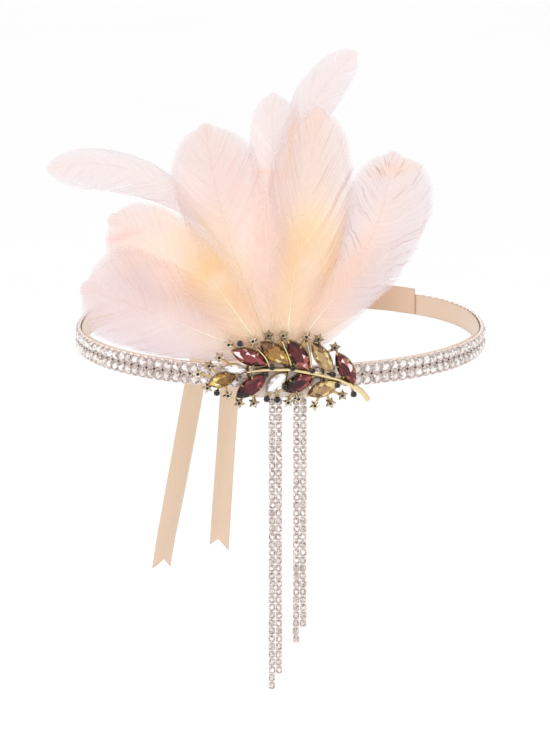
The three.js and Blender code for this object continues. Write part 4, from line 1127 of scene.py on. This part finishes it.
def fringe(middles, color, chance, long, wide):
    """Fine hairs that carry on past the barbs' ends and soften the feather's edge."""
    start, end = middles[:, -3], middles[:, -1]
    heading = unit(end - start + 1e-6)
    side = unit(np.cross(heading, [0.0, 1.0, 0.0]))
    spread = chance.normal(size=(len(start), 1)) * 0.35
    reach = chance.uniform(0.2, 1.0, size=(len(start), 1)) * long + np.linalg.norm(
        end - start, axis=1, keepdims=True)
    lines = []
    for share in np.linspace(0, 1, 5):
        lines.append(start + heading * reach * share + side * reach * spread * share ** 2.5
                     + np.array([0.0, 1.0, 0.0]) * 0.15 * reach * spread * share ** 2)
    lines = np.stack(lines, 1)
    half = side[:, None] * (np.linspace(1, 0.4, 5) * wide / 2)[None, :, None]
    points, faces = strips(lines - half, lines + half)
    shade = np.repeat(0.85 * color[:, -1][:, None] + 0.13, 10, axis=1).reshape(-1, 3)
    return points, faces, shade, np.tile(np.repeat(np.linspace(0.2, 0.04, 5), 2), len(start))


def shaft(row, rib):
    """The quill: an oval tube that thins out towards the tip."""
    t = np.linspace(0, LAST_BARB, 44)
    middles, _ = on_feather(row, rib, t, np.zeros_like(t), 1)
    middles[:, 1] -= 0.12
    heading = np.interp(t, rib["shares"], rib["heading"])
    across = np.stack([np.cos(heading), np.zeros_like(t), -np.sin(heading)], -1)
    wide = SHAFT_FOOT * (1 - t) ** 2 + SHAFT_TIP
    deep = 0.36 * (1 - t) ** 0.8 + 0.05
    rings = [[m + c * w * math.cos(a) + np.array([0.0, d * math.sin(a), 0.0])
              for a in np.linspace(0, 2 * math.pi, 8, endpoint=False)]
             for m, c, w, d in zip(middles, across, wide, deep)]
    points, faces = loft(rings)
    horn, vane = linear(HORN), dye_and_light_of(row, middles, t, np.zeros_like(t))
    color = horn + (np.minimum(vane * 1.12, 0.97) - horn) * np.clip(t / 0.35, 0, 1)[:, None]
    return points, faces, np.repeat(color, 8, axis=0)


def down(row, rib, chance):
    """Loose curling down at the foot of the vane."""
    count = DOWN_COUNT
    t = chance.uniform(row["bare"] * 0.55, row["bare"] + 0.14, size=count)
    side = chance.choice([-1.0, 1.0], size=count)
    reach = chance.uniform(3, 9, size=count) * min(1.0, rib["length"] / 70)
    lines = []
    for share in np.linspace(0, 1, 9):
        rise = t + reach * (0.25 * share + 0.75 * share ** 2) / rib["length"]
        curl = 0.5 * np.sin(7 * share + 20 * t) * share
        lateral = np.maximum(reach * share * 0.85 + curl, 0)
        right, _ = on_feather(row, rib, rise, lateral, 1)
        left, _ = on_feather(row, rib, rise, lateral, -1)
        lines.append(np.where(side[:, None] > 0, right, left))
    lines = np.stack(lines, 1)
    lines[..., 1] += (chance.normal(size=(count, 1)) * 0.3) * np.linspace(0, 1, 9)[None]
    half = np.array([0.05, 0.0, 0.05])
    points, faces = strips(lines - half, lines + half)
    color = np.repeat(dye_and_light_of(row, lines, t[:, None] + np.zeros((count, 9)),
                             np.full((count, 9), 0.2)).reshape(-1, 3), 2, axis=0)
    return points, faces, color, np.full(len(points), 0.45)


def plume(vane, horn):
    for number, row in enumerate(FEATHERS):
        chance = np.random.default_rng(SEEDS["feathers"] + number)
        rib = rib_of(row)
        parts = []
        for side in (-1, 1):
            *web, barbs, shade = half_vane(row, rib, side, chance)
            parts.append((*web, 0))
            parts.append((*fringe(barbs, shade, chance, FRINGE_LENGTH, FRINGE_WIDTH), 0))
        parts.append((*down(row, rib, chance), 0))
        points, faces, color = shaft(row, rib)
        parts.append((points, faces, color, np.ones(len(points)), 1))
        points, faces = joined([part[:2] for part in parts])
        # dye carries the dye together with its painted light and painted crease shade
        layers = {"dye": np.concatenate([part[2] for part in parts]),
                  "body": np.concatenate([part[3] for part in parts])}
        kinds = np.concatenate([np.full(len(part[1]), part[4]) for part in parts])
        piece(f"plume_{row['name']}", points, faces, [vane, horn], [f"feather_{row['name']}"],
              smooth=kinds == 1, layers=layers, face_materials=kinds)


def felt_pad(felt):
    """The pad: a thin back behind the quills and a thick foot below them, with softened edges."""
    foot_top = QUILL_BASE - 2.2 / 2 - 2 * CLEARANCE
    profile = np.array([(PAD_BACK, PAD_BOTTOM), (PAD_BACK, QUILL_BASE + QUILL_SEAT),
                        (PAD_BACK - PAD_THICKNESS, QUILL_BASE + QUILL_SEAT),
                        (PAD_BACK - PAD_THICKNESS, foot_top), (BROOCH_BACK + CLEARANCE, foot_top),
                        (BROOCH_BACK + CLEARANCE, PAD_BOTTOM)])
    fine = []
    for a, b in zip(profile, np.roll(profile, -1, axis=0)):
        steps = max(2, int(np.linalg.norm(b - a) / 0.8))
        fine += [a + (b - a) * k / steps for k in range(steps)]
    fine = np.array(fine)
    middle = fine.mean(0)
    chance = np.random.default_rng(SEEDS["felt"])
    rings = []
    for x in np.linspace(-1, 1, 31):
        inset = 0.45 * max(0.0, (abs(x) - 0.95) / 0.05)
        inward = unit(middle - fine) * inset
        fuzz = chance.normal(size=len(fine)) * 0.05
        ring = fine + inward + unit(middle - fine) * np.abs(fuzz)[:, None]
        rings.append(np.c_[np.full(len(fine), x * PAD_WIDTH / 2), ring])
    points, faces = loft(rings)
    pad = piece("felt_pad", points, faces, [felt], ["mount_pad"])


# ---- Studio


def placed(name, data, place, aim):
    """A camera or lamp in the scene, turned towards a point."""
    made = bpy.data.objects.new(name, data)
    made.location = place
    made.rotation_euler = (aim - made.location).to_track_quat("-Z", "Y").to_euler()
    bpy.context.scene.collection.objects.link(made)
    return made


def studio():
    aim = Vector(AIM) * MM
    back = Vector((0.0, -math.cos(CAMERA_LEAN), math.sin(CAMERA_LEAN)))
    lens = bpy.data.cameras.new("camera")
    lens.sensor_fit, lens.sensor_height, lens.lens = "VERTICAL", SENSOR, LENS
    bpy.context.scene.camera = placed("camera", lens, aim + back * CAMERA_DISTANCE * MM, aim)
    corners = [(x * FLOOR_HALF, y * FLOOR_HALF, -FLOOR_DROP) for x, y in ((-1, -1), (1, -1), (1, 1), (-1, 1))]
    mesh = bpy.data.meshes.new("floor")
    mesh.from_pydata((np.array(corners) * MM).tolist(), [], [(0, 1, 2, 3)])
    mesh.materials.append(finish("white_painted_board", painted_board))
    floor = bpy.data.objects.new("floor", mesh)
    bpy.context.scene.collection.objects.link(floor)
    for name, place, power, size in LAMPS:
        lamp = bpy.data.lights.new(name, "AREA")
        lamp.energy, lamp.size = power, size
        placed(name, lamp, Vector(place) * MM, aim)
    world = bpy.data.worlds.new("white_studio")
    world.use_nodes = True
    world.node_tree.nodes["Background"].inputs["Color"].default_value = (1.0, 1.0, 1.0, 1.0)
    world.node_tree.nodes["Background"].inputs["Strength"].default_value = 1.0
    bpy.context.scene.world = world
    bpy.context.scene.view_settings.view_transform = "Standard"


# What each foil, glass and metal shows from its darkest facet or hollow to its brightest; on the glass these
# run over the facets' painted glints
CRYSTAL = [(0.0, "#766863"), (0.25, "#B5A6A0"), (0.6, "#E4DAD4"), (0.95, "#FFFFFF")]
GLASSES = {
    "burgundy": [(0.0, "#120406"), (0.35, "#3A0C14"), (0.62, "#6E1F28"), (0.88, "#B5605C"),
                 (0.99, "#FBE5E2")],
    "amber": [(0.0, "#331F0E"), (0.35, "#704826"), (0.62, "#A87C38"), (0.85, "#DEC25C"), (0.97, "#FFF9D0")],
    "champagne": [(0.0, "#523820"), (0.3, "#8E6C46"), (0.55, "#C2A274"), (0.8, "#EAD694"),
                  (0.97, "#FFFAE6")],
    "clear": [(0.0, "#8A8798"), (0.3, "#D2D0DC"), (0.6, "#FFFFFF")],
}
GOLD = [(0.1, "#3A2A1E"), (0.4, "#7C5E3E"), (0.7, "#C4A470"), (0.95, "#ECD8A6")]
DULL_GOLD = [(0.1, "#44342A"), (0.45, "#826A52"), (0.75, "#BEA686"), (0.98, "#ECDEC6")]
JET = [(0.0, "#08080C"), (0.6, "#1C1C28"), (0.95, "#565A70")]

studio()
satin = finish("polyester_satin_ribbon", satin_ribbon)
cups = finish("plated_brass_cups", plated_cups)
crystal = finish("foiled_clear_crystal", foiled_glass, CRYSTAL, 0.12, 0.1)
tape_and_ties(satin)
middle_of_knot = on_oval(KNOT_TURN, KNOT_OFFSET)[0] + UP * TIE_RISE
tails(satin, middle_of_knot)
knot_of_ribbon(satin, middle_of_knot)
crystal_chains(cups, crystal)
drop_chains(cups, crystal)
marquise_stones({color: finish(f"{color}_cut_glass", foiled_glass, stops,
                               0.1 if color == "clear" else 0.12)
                 for color, stops in GLASSES.items()})
brooch(finish("antiqued_gold_casting", antiqued_metal, GOLD),
       finish("dull_gold_stars", antiqued_metal, DULL_GOLD),
       finish("jet_cut_glass", foiled_glass, JET, 0.1))
felt_pad(finish("pressed_wool_felt", wool_felt))
plume(finish("dyed_feather_vane", dyed_vane), finish("feather_shaft_keratin", quill_horn))
